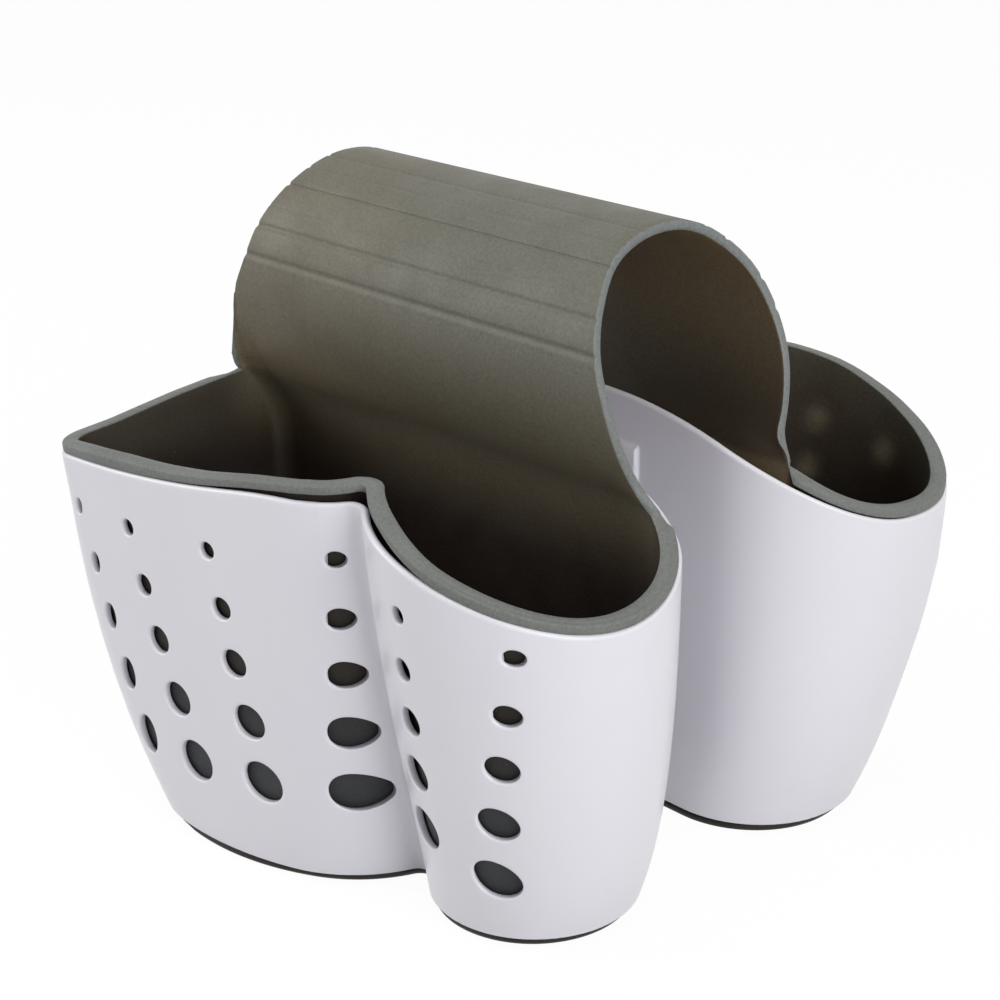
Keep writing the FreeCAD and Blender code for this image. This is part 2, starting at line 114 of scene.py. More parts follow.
# Round holes: width and height of each row from the lowest, then for each column its places along the pocket,
# how far its lowest and its top hole lie off the row, and its share of the width.
HOLE_WIDTHS = (10.1, 8.3, 6.6, 5.2, 3.9)
HOLE_HEIGHTS = (22.2, 36.9, 50.6, 63.3, 76.4)
HOLE_COLUMNS = (
    ((-47.2, -52.7, -57.9, -62.5, -68.0), (0.9, 0.0), 0.72),
    ((-28.2, -33.0, -38.2, -42.4, -47.2), (0.7, 0.5), 1.1),
    ((-6.2, -8.7, -12.1, -15.1, -18.7), (2.5, 2.6), 1.15),
    ((14.7, 15.4, 15.8, 15.7, 15.5), (4.3, 8.0), 0.86),
    ((36.9, 38.0, 39.6, 39.9, 40.8), (3.8, 4.4), 1.0),
    ((55.6, 58.8, 61.7, 64.3, 66.7), (-2.5, 0.7), 1.0),
)
HOLE_LIP = 0.55
HOLE_CHAMFER = 0.25
# The square block of faces round a hole: its size over the hole's, its margin and its faces along a side.
BLOCK_GROWTH = 1.3
BLOCK_MARGIN = 0.2
HOLE_SIDE = 10
# How far the grid of blocks runs past its two outer columns, and the blocks' share of width at the foot.
GRID_ENDS = (-2.4, 2.0)
GRID_FOOT_SHARE = 0.45
# Rings round a hole: shares of the way from the block to its edge, and turns of the rounded edge.
HOLE_RINGS = (0.35, 0.7, 1.0)
HOLE_BENDS = np.radians([22, 45, 68, 90])
# How much a turn of the front counts, against its length, where points are spread along it.
TURN_WEIGHT = 3.0
# Places and heights inside a liner where light from a hole shines through, and how far it spreads.
LIGHT_SPOTS = ((30.0, 88.0), (29.0, 75.0), (48.5, 83.0))
LIGHT_SPOT_RADIUS = 2.7

# The raised pad on a shell's wall along the divider: its ends, its heights, its slopes and how far it stands out.
PAD_PLACES = (-6.5, 23.0)
PAD_HEIGHTS = (61.5, 91.8)
PAD_SLOPES = (0.5, 0.8)
PAD_RISE = 1.2
# Shares of the wall close to the pad's ends, where the faces are narrower.
PAD_END_SHARES = ((0.195, 0.22, 11), (0.385, 0.49, 12))
# Faces along the shell's other sides.
SHELL_COUNTS = {"tube": 26, "wall": 25, "heel": 8, "end": 18, "corner": 8}

# The strap's profile, seen along the divider.
CROWN_CENTRE = 121.0
HAUNCH_RADIUS = 44.0
NECK_RADIUS = 30.0
NECK_WALL = 17.1
SEAM = math.radians(38.0)
# Flex grooves on each side of the crown's top: place along the strap, width, depth.
GROOVES = (
    (7.0, 1.7, 0.28), (13.4, 1.7, 0.28), (20.2, 1.7, 0.40), (27.0, 0.9, 0.10),
    (32.6, 2.4, 0.38), (40.2, 2.6, 0.35),
)
RIGHT_EDGE = (
    (0.0, 41.5), (10.0, 41.5), (17.0, 42.1), (28.5, 45.5), (38.7, 48.6), (51.4, 52.9),
    (62.3, 55.3), (68.2, 56.4), (71.0, 57.2), (73.7, 58.2), (76.2, 59.3), (78.1, 60.4), (80.0, 61.8),
)
LEFT_EDGE = (
    (0.0, -66.0), (16.6, -67.0), (22.3, -68.1), (33.7, -70.9), (38.9, -72.0), (45.0, -74.2), (48.1, -75.8),
    (52.1, -77.0), (58.3, -77.4), (63.6, -77.2), (66.0, -76.9), (68.0, -76.4), (70.0, -75.8), (72.0, -74.8),
)
# Shares across a groove that get a row of points, the rows' distance elsewhere and the least gaps.
GROOVE_SHARES = (-1, -0.7, -0.4, -0.15, 0.15, 0.4, 0.7, 1)
ROW_DISTANCE = 2.2
ROW_END_GAP = 0.12
ROW_GAP = 0.1
# A cut edge's swelling and how square it is.
EDGE_SWELL = 0.4
EDGE_POWER = 2.6
CROWN_COLUMNS = 36
CROWN_EDGE_ROWS = 9

LINER_COUNTS = (
    ("corner", 10), ("face", 44), ("nose", 18), ("crease", 16), ("tube", 74), ("wall", 48), ("heel", 14), ("end", 26),
)
LINER_ROWS = 34
LINER_GAP = 0.3
FLANGE_EDGE = 0.4
# The flange along the pocket's front and along the tray's end: how high its top stands over the shell,
# and how far its underside stands clear.
RISE_PLACES = (-80.0, -66.0, -49.0, -34.0, -20.0, 0.0, 10.0, 30.0, 42.0, 52.0, 65.0, 76.0)
RISE_SIZES = (2.2, 2.9, 3.2, 2.8, 2.7, 3.2, 3.9, 3.9, 3.6, 3.0, 2.7, 2.4)
END_RISE_PLACES = (30.0, 48.0, 58.0, 67.0, 76.0)
END_RISE_SIZES = (3.5, 3.3, 2.75, 2.2, 2.2)
CLEAR_PLACES = (-50.0, -20.0, 0.0, 10.0, 32.0, 44.0, 54.0, 62.0)
CLEAR_SIZES = (0.0, 0.3, 1.0, 1.7, 1.7, 1.0, 0.3, 0.0)
FLANGE_RISE = 3.3
FLANGE_STRAP_RISE = 2.2
STRAP_RISE_RUN = (-45.0, 15.0)
CUP_BELOW_FLANGE = 0.5
FLANGE_DEPTH = 0.7
FLANGE_SWELL = 0.15
# The flange's section: how far in from the cup's inside and how far over the rim.
FLANGE_PROFILE = (
    (-0.06, 3.05), (-0.2, 3.22), (-0.5, 3.3), (-1.3, 3.3), (-2.3, 3.25), (-2.42, 3.1), (-2.55, 3.02),
    (-3.1, 2.98), (-3.5, 2.9), (-3.75, 2.7), (-3.9, 2.3), (-3.9, 0.5), (-3.85, 0.1), (-3.5, -0.05), (-2.4, -0.05),
)
# How soon the flange runs out into the strap: at its left foot, and at the front's and the rear's right foot.
FLANGE_LEFT_FADE = 9.0
FLANGE_RIGHT_FADES = (3.5, 1.5)
# Heights at which the plan is taken, and where its front side begins.
PLAN_LEVEL = 98.0
CORNER_LEVEL = 92.0
FRONT_SIDE = 45.0
FLOOR_TOP = 3.0
FLOOR_FILLET = 4.0
FILLET_TURNS = np.radians([0, 18, 36, 54, 72])
FLOOR_MIDDLE = (10.0, 30.0)
FLOOR_RINGS = (0.8, 0.55, 0.3)
# The sole, from the cup down: height and how far it stands in from the cup's outside.
SOLE_PROFILE = ((4.0, 0.0), (2.0, 0.0), (1.9, -1.2), (0.7, -1.2), (0.2, -1.0), (0.0, -0.5))
SHELL_FOOT = 2.4
FOOT_ROW = 0.7
LIP_RADIUS = 0.9
FOOT_LIP_RADIUS = 0.6
# The front shell's rim dips beside the strap: from a share of the tube to a share of the wall.
FRONT_DIP = 3.0
DIP_TUBE_RUN = (0.55, 0.3)
DIP_WALL_RUN = (0.0, 0.4)
# The strap's foot: its right corner, the columns before that corner, and how far its left end reaches.
CORNER_PLACE = 60.5
CORNER_SPLIT = 0.78
STRAP_END_REACH = 27.5
# How the strap's columns take up the neck's lean.
LEAN_GROWTH = 0.25
LEAN_COLUMNS = 14
WALL_LEAN = 0.35
WALL_LEAN_RUN = (5.0, 60.0)
HEEL_LEAN = 1.35
END_LEAN = 0.8
# The strap's leg: where its columns run level, how soon its foot's bend is gone, the cup's row at which its back
# starts, and how much thicker its edge is at the rear's right foot, over how many rows and columns.
STRAP_MEET = 66.0
FOOT_ROWS = 8
BEND_LENGTHS = (9.0, 22.0)
BEND_LENGTH_RUN = (0.3, 0.6)
SHEET_FOOT = 18
EDGE_THICKER = 0.8
BASE_ROWS = 9.0
EDGE_COLUMNS = 3.0
# The liner is pulled in at the crease, more at the top.
PULL_RUN = (25.0, 60.0)
PULL_PLACES = (-30.0, 14.0, 18.5, 21.0, 27.0, 34.0, 41.0, 49.0)
PULL_SIZES = (0.0, 0.0, 0.3, 1.0, 1.4, 1.5, 0.8, 0.0)

# Tones of the liner: 1 is the painted shade of the dark inside and -0.6 the palest edge. Second tone: 1 is a painted
# amber glow and -1 the painted shade of the cavity.
# Painted shade at the top of the cup and at the tray's end, and how far down it grows full.
RIM_PAINTED_SHADE = 0.85
END_PAINTED_SHADE = 0.82
PAINTED_SHADE_DROP = 16.0
EDGE_TONE = -0.6
FLANGE_TONE = -0.4
# Painted shade on the strap as it runs into the pocket, and how much less of it near the cut edges.
STRAP_PAINTED_SHADE = 0.15
STRAP_PAINTED_SHADE_RUN = (39.0, 48.0)
STRAP_WIDTH = 130
EDGE_PALER = 0.6
EDGE_FADE = 3.0
# Painted amber glow, for light shining through: near the rim, at the hole spots and on the leg; then a browner tint
# towards the tray's end.
RIM_PAINTED_GLOW = 0.08
RIM_PAINTED_GLOW_RUN = (70.0, 22.0)
SPOT_PAINTED_GLOW = 0.4
SPOT_LIGHT = 0.45
LEG_PAINTED_GLOW = (0.05, 0.42)
LEG_PAINTED_GLOW_RUN = (34.0, 42.0)
LEFT_WARMTH = 0.2
LEFT_WARMTH_RUN = (-10.0, 75.0)
# Painted shade of the cavity, low on the cup's outside.
CAVITY_SHADE_RUN = (32.0, 28.0)
# Painted glow and painted shade on the leg's back.
LOW_BACK_PAINTED_GLOW = 0.35
LOW_BACK_PAINTED_GLOW_RUN = (78.0, 14.0)
BACK_GLOW = (1.0, 0.12)
BACK_GLOW_RUN = (25.0, 42.0)
BACK_PAINTED_SHADE = (0.5, 1.0)
BACK_PAINTED_SHADE_RUN = (25.0, 45.0)
GRAIN_HEIGHT = 0.0002

CAMERA_PLACE = (0.3597, -0.34244, 0.26182)
CAMERA_TURN = math.radians(47.3)
CAMERA_RISE = math.radians(20.59)
CAMERA_LENS = 79.2
SENSOR_WIDTH = 36.0
# Name, place, aim, power and width of each lamp, in metres and watts.
LAMPS = (
    ("left_lamp", (-1.0, -0.8, 0.6), (0.0, 0.0, 0.06), 7.5, 0.9),
    ("right_lamp", (1.1, -0.25, 0.6), (0.0, 0.0, 0.06), 9.5, 0.9),
    ("top_lamp", (-0.1, -0.1, 1.3), (0.0, 0.0, 0.06), 3.5, 0.8),
)
FLOOR_HALF = 4.0
FLOOR_GREY = 0.6
FLOOR_GLOW = 1.04
FLOOR_GLOW_SHARE = 0.92
WORLD_FILL = 0.33


class CaddySizes(bpy.types.PropertyGroup):
    """Main sizes of the caddy"""

    tray_end: FloatProperty(
        name="Tray end", description="Half-way line to the tray's closed end, at the rim",
        default=0.0796, unit="LENGTH")
    tray_reach: FloatProperty(
        name="Tray reach", description="Divider's middle to the tray's front, at the rim",
        default=0.0846, unit="LENGTH")
    tube_place: FloatProperty(
        name="Tube place", description="Half-way line to the tube's middle, at the rim",
        default=0.0446, unit="LENGTH")
    tube_radius: FloatProperty(
        name="Tube radius", description="Radius of the round end, at the rim", default=0.0348, unit="LENGTH")
    tube_reach: FloatProperty(
        name="Tube reach", description="Divider's middle to the tube's front, at the rim",
        default=0.0797, unit="LENGTH")
    wall_place: FloatProperty(
        name="Wall place", description="Divider's middle to a shell's inner wall", default=0.0128, unit="LENGTH")
    rim_top: FloatProperty(
        name="Rim top", description="Height of the rim's highest point", default=0.1052, unit="LENGTH")
    shell_wall: FloatProperty(
        name="Shell wall", description="Thickness of the hard shells", default=0.0018, unit="LENGTH")
    liner_wall: FloatProperty(
        name="Liner wall", description="Thickness of the soft liners and the strap", default=0.0022, unit="LENGTH")
    crown_radius: FloatProperty(
        name="Crown radius", description="Outer radius of the strap over the divider", default=0.030, unit="LENGTH")


class CaddyColours(bpy.types.PropertyGroup):
    """Colours of the caddy"""

    shell: FloatVectorProperty(
        name="Shell", description="White of the hard shells", subtype="COLOR", size=3, default=(0.80, 0.79, 0.835))
    liner: FloatVectorProperty(
        name="Liner", description="Grey of the soft liners", subtype="COLOR", size=3, default=(0.155, 0.155, 0.126))
    # Painted shade: the brown that darkens the liners deep inside.
    depth: FloatVectorProperty(
        name="Liner depth", description="Brown of the liners deep inside", subtype="COLOR", size=3,
        default=(0.013, 0.008, 0.005))
    glow: FloatVectorProperty(
        name="Strap glow", description="Amber of the strap's underside, where light shines through", subtype="COLOR",
        size=3, default=(0.195, 0.142, 0.074))
    # Painted shade: near black standing in for the shadow between the liners and the shells.
    cavity_shade: FloatVectorProperty(
        name="Cavity", description="Near black between the liners and the shells", subtype="COLOR", size=3,
        default=(0.030, 0.032, 0.036))


def mix(a, b, share):
    """A value between a and b."""
    return a + (b - a) * share


def ease(t):
    """A smooth step from 0 to 1."""
    t = np.clip(t, 0.0, 1.0)
    return t * t * (3 - 2 * t)


def ramp(value, start, length):
    """Rises smoothly from 0 at start to 1 a length further on."""
    return ease((value - start) / length)


def even_shares(count):
    """Even shares up to 1, without the 0."""
    return np.linspace(0, 1, count + 1)[1:]


def pocket_form(sizes, crease, side):
    """The plan of the front (-1) or rear (1) pocket as pairs of rim and foot values, in millimetres."""
    return SimpleNamespace(
        end=(sizes.tray_end / MM, FOOT_END),
        reach=(sizes.tray_reach / MM, FOOT_REACH),
        tube_place=(sizes.tube_place / MM, FOOT_TUBE_PLACE),
        tube_radius=(sizes.tube_radius / MM, FOOT_TUBE_RADIUS),
        tube_reach=(sizes.tube_reach / MM, FOOT_TUBE_REACH),
        inner=sizes.wall_place / MM,
        crease=crease,
        rim_top=sizes.rim_top / MM,
        full=1.0 if side > 0 else 0.0,
    )


def taper_share(z, power):
    """How far a height is on the way from the rim's level to the foot."""
    return np.clip(1 - np.asarray(z, float) / LEVEL, 0, 1) ** power


def section(form, z, inset):
    """Centres, radii and turns of the outline's arcs at height z, moved in by inset."""
    share = taper_share(z, TAPER)

    def at(pair, share=share):
        return mix(pair[0], pair[1], share)

    s = SimpleNamespace()
    s.end = at(form.end) + END_FLARE * ramp(np.asarray(z), *END_FLARE_RUN) - inset
    s.full = form.full * np.interp(z, BULGE_HEIGHTS, BULGE_SIZES)
    s.inner = form.inner + inset + 0 * share
    s.face_r = at(FACE_RADIUS) - inset
    s.face_x = at(FACE_MIDDLE)
    s.face_y = at(form.reach) - inset - s.face_r
    s.corner_r = np.maximum(at(CORNER_RADIUS, taper_share(z, CORNER_TAPER)) - inset, 1.0)
    s.corner_x = s.corner_r - s.end
    s.corner_y = s.face_y + np.sqrt((s.face_r - s.corner_r) ** 2 - (s.corner_x - s.face_x) ** 2)
    s.nose_r = at(NOSE_RADIUS) - inset
    s.nose_x = at(NOSE_END) - inset - s.nose_r
    s.nose_y = s.face_y + np.sqrt((s.face_r - s.nose_r) ** 2 - (s.nose_x - s.face_x) ** 2)
    s.heel_r = at(HEEL_RADIUS) - inset
    s.heel_x = s.heel_r - s.end
    s.heel_y = s.inner + s.heel_r
    lobe_r = at(form.tube_radius, taper_share(z, TUBE_TAPER))
    s.lobe_x = at(form.tube_place, taper_share(z, TUBE_PLACE_TAPER))
    s.lobe_y = at(form.tube_reach, taper_share(z, TUBE_REACH_TAPER)) - lobe_r
    tube_r = (s.lobe_y + lobe_r * math.sin(LOBE_TURN) - form.inner) / (1 + math.sin(LOBE_TURN))
    s.tube_x = s.lobe_x + (lobe_r - tube_r) * math.cos(LOBE_TURN)
    s.tube_y = form.inner + tube_r
    s.lobe_r, s.tube_r = lobe_r - inset, tube_r - inset
    s.crease_r = at(form.crease) + inset
    across, along = s.lobe_x - s.nose_x, s.lobe_y - s.nose_y
    span = np.hypot(across, along)
    near, far = s.nose_r + s.crease_r, s.lobe_r + s.crease_r
    run = (span ** 2 + near ** 2 - far ** 2) / (2 * span)
    heading = np.arctan2(along, across) + np.arccos(np.clip(run / near, -1, 1))
    s.crease_x = s.nose_x + near * np.cos(heading)
    s.crease_y = s.nose_y + near * np.sin(heading)
    s.corner_turn = np.arctan2(s.corner_y - s.face_y, s.corner_x - s.face_x)
    s.face_turn = np.arctan2(s.nose_y - s.face_y, s.nose_x - s.face_x)
    s.nose_turn = heading
    s.tube_turn = np.arctan2(s.crease_y - s.lobe_y, s.crease_x - s.lobe_x)
    return s


def tube_point(s, turn):
    """A point of the round end: a wide arc in front that runs on as a closer one behind."""
    front = turn > LOBE_TURN
    cx, cy = np.where(front, s.lobe_x, s.tube_x), np.where(front, s.lobe_y, s.tube_y)
    r = np.where(front, s.lobe_r, s.tube_r) + tube_bulge(s, turn)
    return cx + r * np.cos(turn), cy + r * np.sin(turn)


def tube_bulge(s, turn):
    """How much fuller the round end is at a turn, most half-way between its front and its side."""
    return s.full * np.sin(2 * np.clip(turn, 0, math.pi / 2)) ** 2


def tube_angle(s, x):
    """The round end's turn at place x on its front side."""
    more = 0.0
    for _ in range(12):
        turn = np.arccos(np.clip((x - s.lobe_x) / (s.lobe_r + more), -1, 1))
        back = np.arccos(np.clip((x - s.tube_x) / (s.tube_r + more), -1, 1))
        turn = np.where(turn > LOBE_TURN, turn, back)
        more = tube_bulge(s, turn)
    return turn


def front_reach(form, x, z, inset):
    """How far the pocket's front side stands from the divider at x, at height z."""
    s = section(form, z, inset)

    def over(cx, cy, r, sign=1):
        return cy + sign * np.sqrt(np.maximum(r * r - (x - cx) ** 2, 0))

    return np.select(
        [
            x < s.face_x + s.face_r * np.cos(s.corner_turn),
            x < s.face_x + s.face_r * np.cos(s.face_turn),
            x < s.nose_x + s.nose_r * np.cos(s.nose_turn),
            x < s.lobe_x + s.lobe_r * np.cos(s.tube_turn),
        ],
        [
            over(s.corner_x, s.corner_y, s.corner_r),
            over(s.face_x, s.face_y, s.face_r),
            over(s.nose_x, s.nose_y, s.nose_r),
            over(s.crease_x, s.crease_y, s.crease_r, -1),
        ],
        tube_point(s, tube_angle(s, x))[1],
    )


def walk(form, part, t, z, inset):
    """A point at share t of one part of the outline, clockwise from the tray's corner."""
    s = section(form, z, inset)
    half = math.pi / 2
    arcs = {
        "corner": (s.corner_x, s.corner_y, s.corner_r, math.pi, s.corner_turn),
        "face": (s.face_x, s.face_y, s.face_r, s.corner_turn, s.face_turn),
        "nose": (s.nose_x, s.nose_y, s.nose_r, s.face_turn, s.nose_turn),
        "crease": (s.crease_x, s.crease_y, s.crease_r, s.nose_turn + math.pi, s.tube_turn + math.pi),
        "heel": (s.heel_x, s.heel_y, s.heel_r, -half, -math.pi),
    }
    if part == "wall":
        return mix(s.tube_x, s.heel_x, t), s.inner + 0 * t
    if part == "end":
        return -s.end + 0 * t, mix(s.heel_y, s.corner_y, t)
    if part == "tube":
        return tube_point(s, mix(s.tube_turn, -half, t))
    cx, cy, r, first, last = arcs[part]
    turn = mix(first, last, t)
    return cx + r * np.cos(turn), cy + r * np.sin(turn)


def rim_height(form, x, v):
    """Height of the shell's rim at a point of the plan."""
    middle = form.rim_top - RIM_RADIUS
    across, up = RIM_LINE_START[0] - RIM_TOP_PLACE, RIM_LINE_START[1] - middle
    turn = math.atan2(up, across) - math.acos(RIM_RADIUS / math.hypot(across, up))
    touch_x = RIM_TOP_PLACE + RIM_RADIUS * math.cos(turn)
    touch_z = middle + RIM_RADIUS * math.sin(turn)
    slope = (touch_z - RIM_LINE_START[1]) / (touch_x - RIM_LINE_START[0])
    line = RIM_LINE_START[1] + slope * (x - RIM_LINE_START[0])
    arch = middle + np.sqrt(np.maximum(RIM_RADIUS ** 2 - (x - RIM_TOP_PLACE) ** 2, 0))
    lift = RIM_END_LIFT * (np.clip(RIM_LIFT_START - x, 0, None) / RIM_LIFT_LENGTH) ** RIM_LIFT_POWER
    rear = form.full * np.interp(x, REAR_LIFT_PLACES, REAR_LIFT_SIZES) * ramp(v, *REAR_LIFT_RUN)
    return np.where(x < touch_x, line, arch) - RIM_TILT * v + lift + rear


def front_rim(form, x, z):
    """Height below the shell's lip on the pocket's front side."""
    return rim_height(form, x, front_reach(form, x, z, 0.0)) - LIP_RADIUS


class MeshMaker:
    """Collects points and faces, in millimetres, of one closed skin."""

    def __init__(self):
        self.points = []
        self.faces = []
        self.tones = []

    def add(self, x, v, z, tone=0.0, glow_and_tint=0.0):
        """Adds points and gives their numbers in the same arrangement."""
        x, v, z, tone, glow_and_tint = np.broadcast_arrays(*(np.asarray(k, float) for k in (x, v, z, tone, glow_and_tint)))
        first = len(self.points)
        self.points.extend(np.stack([x.ravel(), v.ravel(), z.ravel()], 1).tolist())
        self.tones.extend(np.stack([tone.ravel(), glow_and_tint.ravel()], 1).tolist())
        return np.arange(first, first + x.size).reshape(x.shape)

    def quads(self, numbers, closed=False, skip=None):
        """Faces between the rows of a grid of point numbers."""
        rows, columns = numbers.shape
        for i in range(rows - 1):
            for j in range(columns if closed else columns - 1):
                if skip is not None and skip[i, j]:
                    continue
                k = (j + 1) % columns
                self.faces.append((numbers[i, j], numbers[i, k], numbers[i + 1, k], numbers[i + 1, j]))

    def fan(self, ring, middle):
        """Faces from a ring of point numbers to one in its middle."""
        for a, b in zip(ring, np.roll(ring, -1)):
            self.faces.append((a, b, middle))

    def build(self, name, side):
        """The skin as an object; side is 1 for the rear and -1 for the front."""
        used = np.unique(np.concatenate([np.array(f) for f in self.faces]))
        number = np.full(len(self.points), -1)
        number[used] = np.arange(len(used))
        points = np.array(self.points)[used] * (MM, side * MM, MM)
        faces = [tuple(int(number[k]) for k in f) for f in self.faces]
        mesh = bpy.data.meshes.new(name)
        mesh.from_pydata(points.tolist(), [], faces)
        work = bmesh.new()
        work.from_mesh(mesh)
        bmesh.ops.recalc_face_normals(work, faces=work.faces)
        work.to_mesh(mesh)
        work.free()
        mesh.polygons.foreach_set("use_smooth", [True] * len(mesh.polygons))
        for k, kind in enumerate(("painted_shade_and_pale_edge", "painted_glow_shade_and_tint")):
            tone = mesh.attributes.new(kind, "FLOAT", "POINT")
            tone.data.foreach_set("value", np.array(self.tones, np.float32)[used, k].copy())
        mesh.update()
        body = bpy.data.objects.new(name, mesh)
        bpy.context.scene.collection.objects.link(body)
        return body


def even_run(form, start, finish, z, count):
    """Places along the front from start to finish, spread by length and by turning."""
    fine = np.linspace(0, 1, 160)
    x = start + (finish - start) * fine
    v = front_reach(form, x, z, 0.0)
    length = np.hypot(np.diff(x), np.diff(v))
    turn = np.abs(np.diff(np.arctan2(np.diff(v), np.diff(x)), prepend=np.nan))
    turn[0] = 0.0
    total = np.concatenate([[0], np.cumsum(length + TURN_WEIGHT * turn)])
    return np.interp(np.linspace(0, total[-1], count + 1), total, x)


def hole_column(column):
    """Places and heights of one column's holes, and its share of the width."""
    places, (low, top), share = HOLE_COLUMNS[column]
    heights = np.array(HOLE_HEIGHTS)
    return np.array(places), heights + np.interp(heights, heights[[0, -1]], (low, top)), share


def hole_grid(form):
    """Lines of the block grid round the holes: places and heights, row by row."""
    wide = np.array(HOLE_WIDTHS) / 2
    block = BLOCK_GROWTH * wide + BLOCK_MARGIN
    rows, lines = 2 * len(wide) + 2, 2 * len(HOLE_COLUMNS) + 2
    x, z = np.zeros((rows, lines)), np.zeros((rows, lines))
    low, rim = SHELL_FOOT + FOOT_ROW, rows - 1
    for j in range(lines):
        column = min(max((j - 1) // 2, 0), len(HOLE_COLUMNS) - 1)
        places, heights, share = hole_column(column)
        sign = -1 if j == 0 or (j % 2 == 1 and j < lines - 1) else 1
        extra = {0: GRID_ENDS[0], lines - 1: GRID_ENDS[1]}.get(j, 0.0)
        for r in range(len(wide)):
            for k, up in ((1 + 2 * r, -1), (2 + 2 * r, 1)):
                x[k, j] = places[r] + sign * share * block[r] + extra
                z[k, j] = heights[r] + up * block[r]
        slope = (places[0] - places[1]) / (heights[0] - heights[1])
        x[0, j] = places[0] + slope * (low - heights[0]) + sign * GRID_FOOT_SHARE * share * block[0] + extra
        z[0, j] = low
        slope = (places[-1] - places[-2]) / (heights[-1] - heights[-2])
        level = heights[-1]
        for _ in range(8):
            x[rim, j] = places[-1] + slope * (level - heights[-1]) + sign * share * block[-1] + extra
            level = front_rim(form, x[rim, j], level)
        z[rim, j] = level
    return x, z


def shell_skin(form, wall, dip):
    """One pierced shell as a closed skin with rounded lips; its rim dips behind the round end."""
    make = MeshMaker()
    block_x, block_z = hole_grid(form)
    # Faces between the grid's lines, upwards and along the front; one of the gaps holds the crease.
    row_counts = [7] + [HOLE_SIDE, 3] * 4 + [HOLE_SIDE, 12]
    line_counts = [4, HOLE_SIDE, 6, HOLE_SIDE, 7, HOLE_SIDE, 6, HOLE_SIDE, 34, HOLE_SIDE, 4, HOLE_SIDE, 4]
    crease_gap = 8
    row_share = np.concatenate(
        [k + np.arange(n) / n for k, n in enumerate(row_counts)] + [[len(row_counts)]])
    front_x, front_z = [], []
    for share in row_share:
        k = min(int(share), len(row_counts) - 1)
        f = share - k
        edge_x = mix(block_x[k], block_x[k + 1], f)
        edge_z = mix(block_z[k], block_z[k + 1], f)
        xs, zs = [], []
        for j, n in enumerate(line_counts):
            part = np.arange(n) / n
            run = edge_x[j] + (edge_x[j + 1] - edge_x[j]) * part
            if j == crease_gap:
                run = even_run(form, edge_x[j], edge_x[j + 1], (edge_z[j] + edge_z[j + 1]) / 2, n)[:-1]
                part = (run - edge_x[j]) / (edge_x[j + 1] - edge_x[j])
            xs.append(run)
            zs.append(mix(edge_z[j], edge_z[j + 1], ease(part) if n > 10 else part))
        front_x.append(np.append(np.concatenate(xs), edge_x[-1]))
        front_z.append(np.append(np.concatenate(zs), edge_z[-1]))
    front_x, front_z = np.array(front_x), np.array(front_z)
    top = front_z[-1].copy()
    for _ in range(6):
        top = front_rim(form, front_x[-1], top)
    old = front_z[-1].copy()
    upper = row_share >= len(row_counts) - 1
    base = front_z[upper][0]
    front_z[upper] = base + (front_z[upper] - base) * ((top - base) / (old - base))

    rest = []
    for part, count in SHELL_COUNTS.items():
        rest += [(part, t) for t in (wall_shares(count) if part == "wall" else even_shares(count))]
    rest.pop()
    low = front_z[0, 0]
    right = (front_z[:, -1] - low) / (front_z[-1, -1] - low)
    left = (front_z[:, 0] - low) / (front_z[-1, 0] - low)
    start, finish = front_x[:, -1], front_x[:, 0]

    def rest_place(part, t, z, inset):
        s = section(form, z, inset)
        if part == "tube":
            return tube_point(s, mix(tube_angle(s, start), -math.pi / 2, t))
        if part == "corner":
            x = -s.end + (finish + s.end) * (1 - math.cos(t * math.pi / 2))
            return x, front_reach(form, x, z, inset)
        return walk(form, part, t, z, inset)

    rest_z = []
    for n, (part, t) in enumerate(rest):
        level = np.full(len(row_share), RIM_GUESS)
        for _ in range(8):
            x, v = (k[-1] for k in rest_place(part, t, level, 0.0))
            level = np.full(len(row_share), rim_height(form, x, v) - LIP_RADIUS - dip * dip_share(part, t))
        share = mix(right, left, (n + 1) / (len(rest) + 1))
        rest_z.append(low + (level[-1] - low) * share)
    rest_z = np.array(rest_z).T

    skip = np.zeros((len(row_share) - 1, front_x.shape[1] + len(rest)), bool)
    row_start = np.concatenate([[0], np.cumsum(row_counts)])
    line_start = np.concatenate([[0], np.cumsum(line_counts)])
    for r in range(len(HOLE_WIDTHS)):
        for c in range(len(HOLE_COLUMNS)):
            i, j = row_start[1 + 2 * r], line_start[1 + 2 * c]
            skip[i:i + HOLE_SIDE, j:j + HOLE_SIDE] = True

    def surface(z_front, z_rest, inset):
        v = front_reach(form, front_x, z_front, inset)
        rest_x, rest_v = [], []
        for n, (part, t) in enumerate(rest):
            px, pv = rest_place(part, t, z_rest[:, n], inset)
            if part == "wall":
                pv = pv - (PAD_RISE if inset == 0 else 0.0) * pad_mask(px, z_rest[:, n])
            rest_x.append(px)
            rest_v.append(pv)
        return (np.hstack([front_x, np.array(rest_x).T]), np.hstack([v, np.array(rest_v).T]),
                np.hstack([z_front, z_rest]))

    outer = make.add(*surface(front_z, rest_z, 0.0))
    inner = make.add(*surface(front_z, rest_z, wall), tone=1.0)
    make.quads(outer, True, skip)
    make.quads(inner, True, skip)

    def lip(row, radius, sign):
        """Rounds off the top or bottom row, from the outside to the inside."""
        rings = [outer[row]]
        for turn in np.linspace(0, math.pi, 9)[1:-1]:
            inset = radius * (1 - math.cos(turn)) + (wall - 2 * radius) * (turn > math.pi / 2)
            rise = sign * radius * math.sin(turn)
            x, v, z = surface(front_z, rest_z, inset)
            rings.append(make.add(x[row], v[row], z[row] + rise))
        rings.append(inner[row])
        make.quads(np.array(rings), True)

    lip(-1, LIP_RADIUS, 1)
    lip(0, FOOT_LIP_RADIUS, -1)

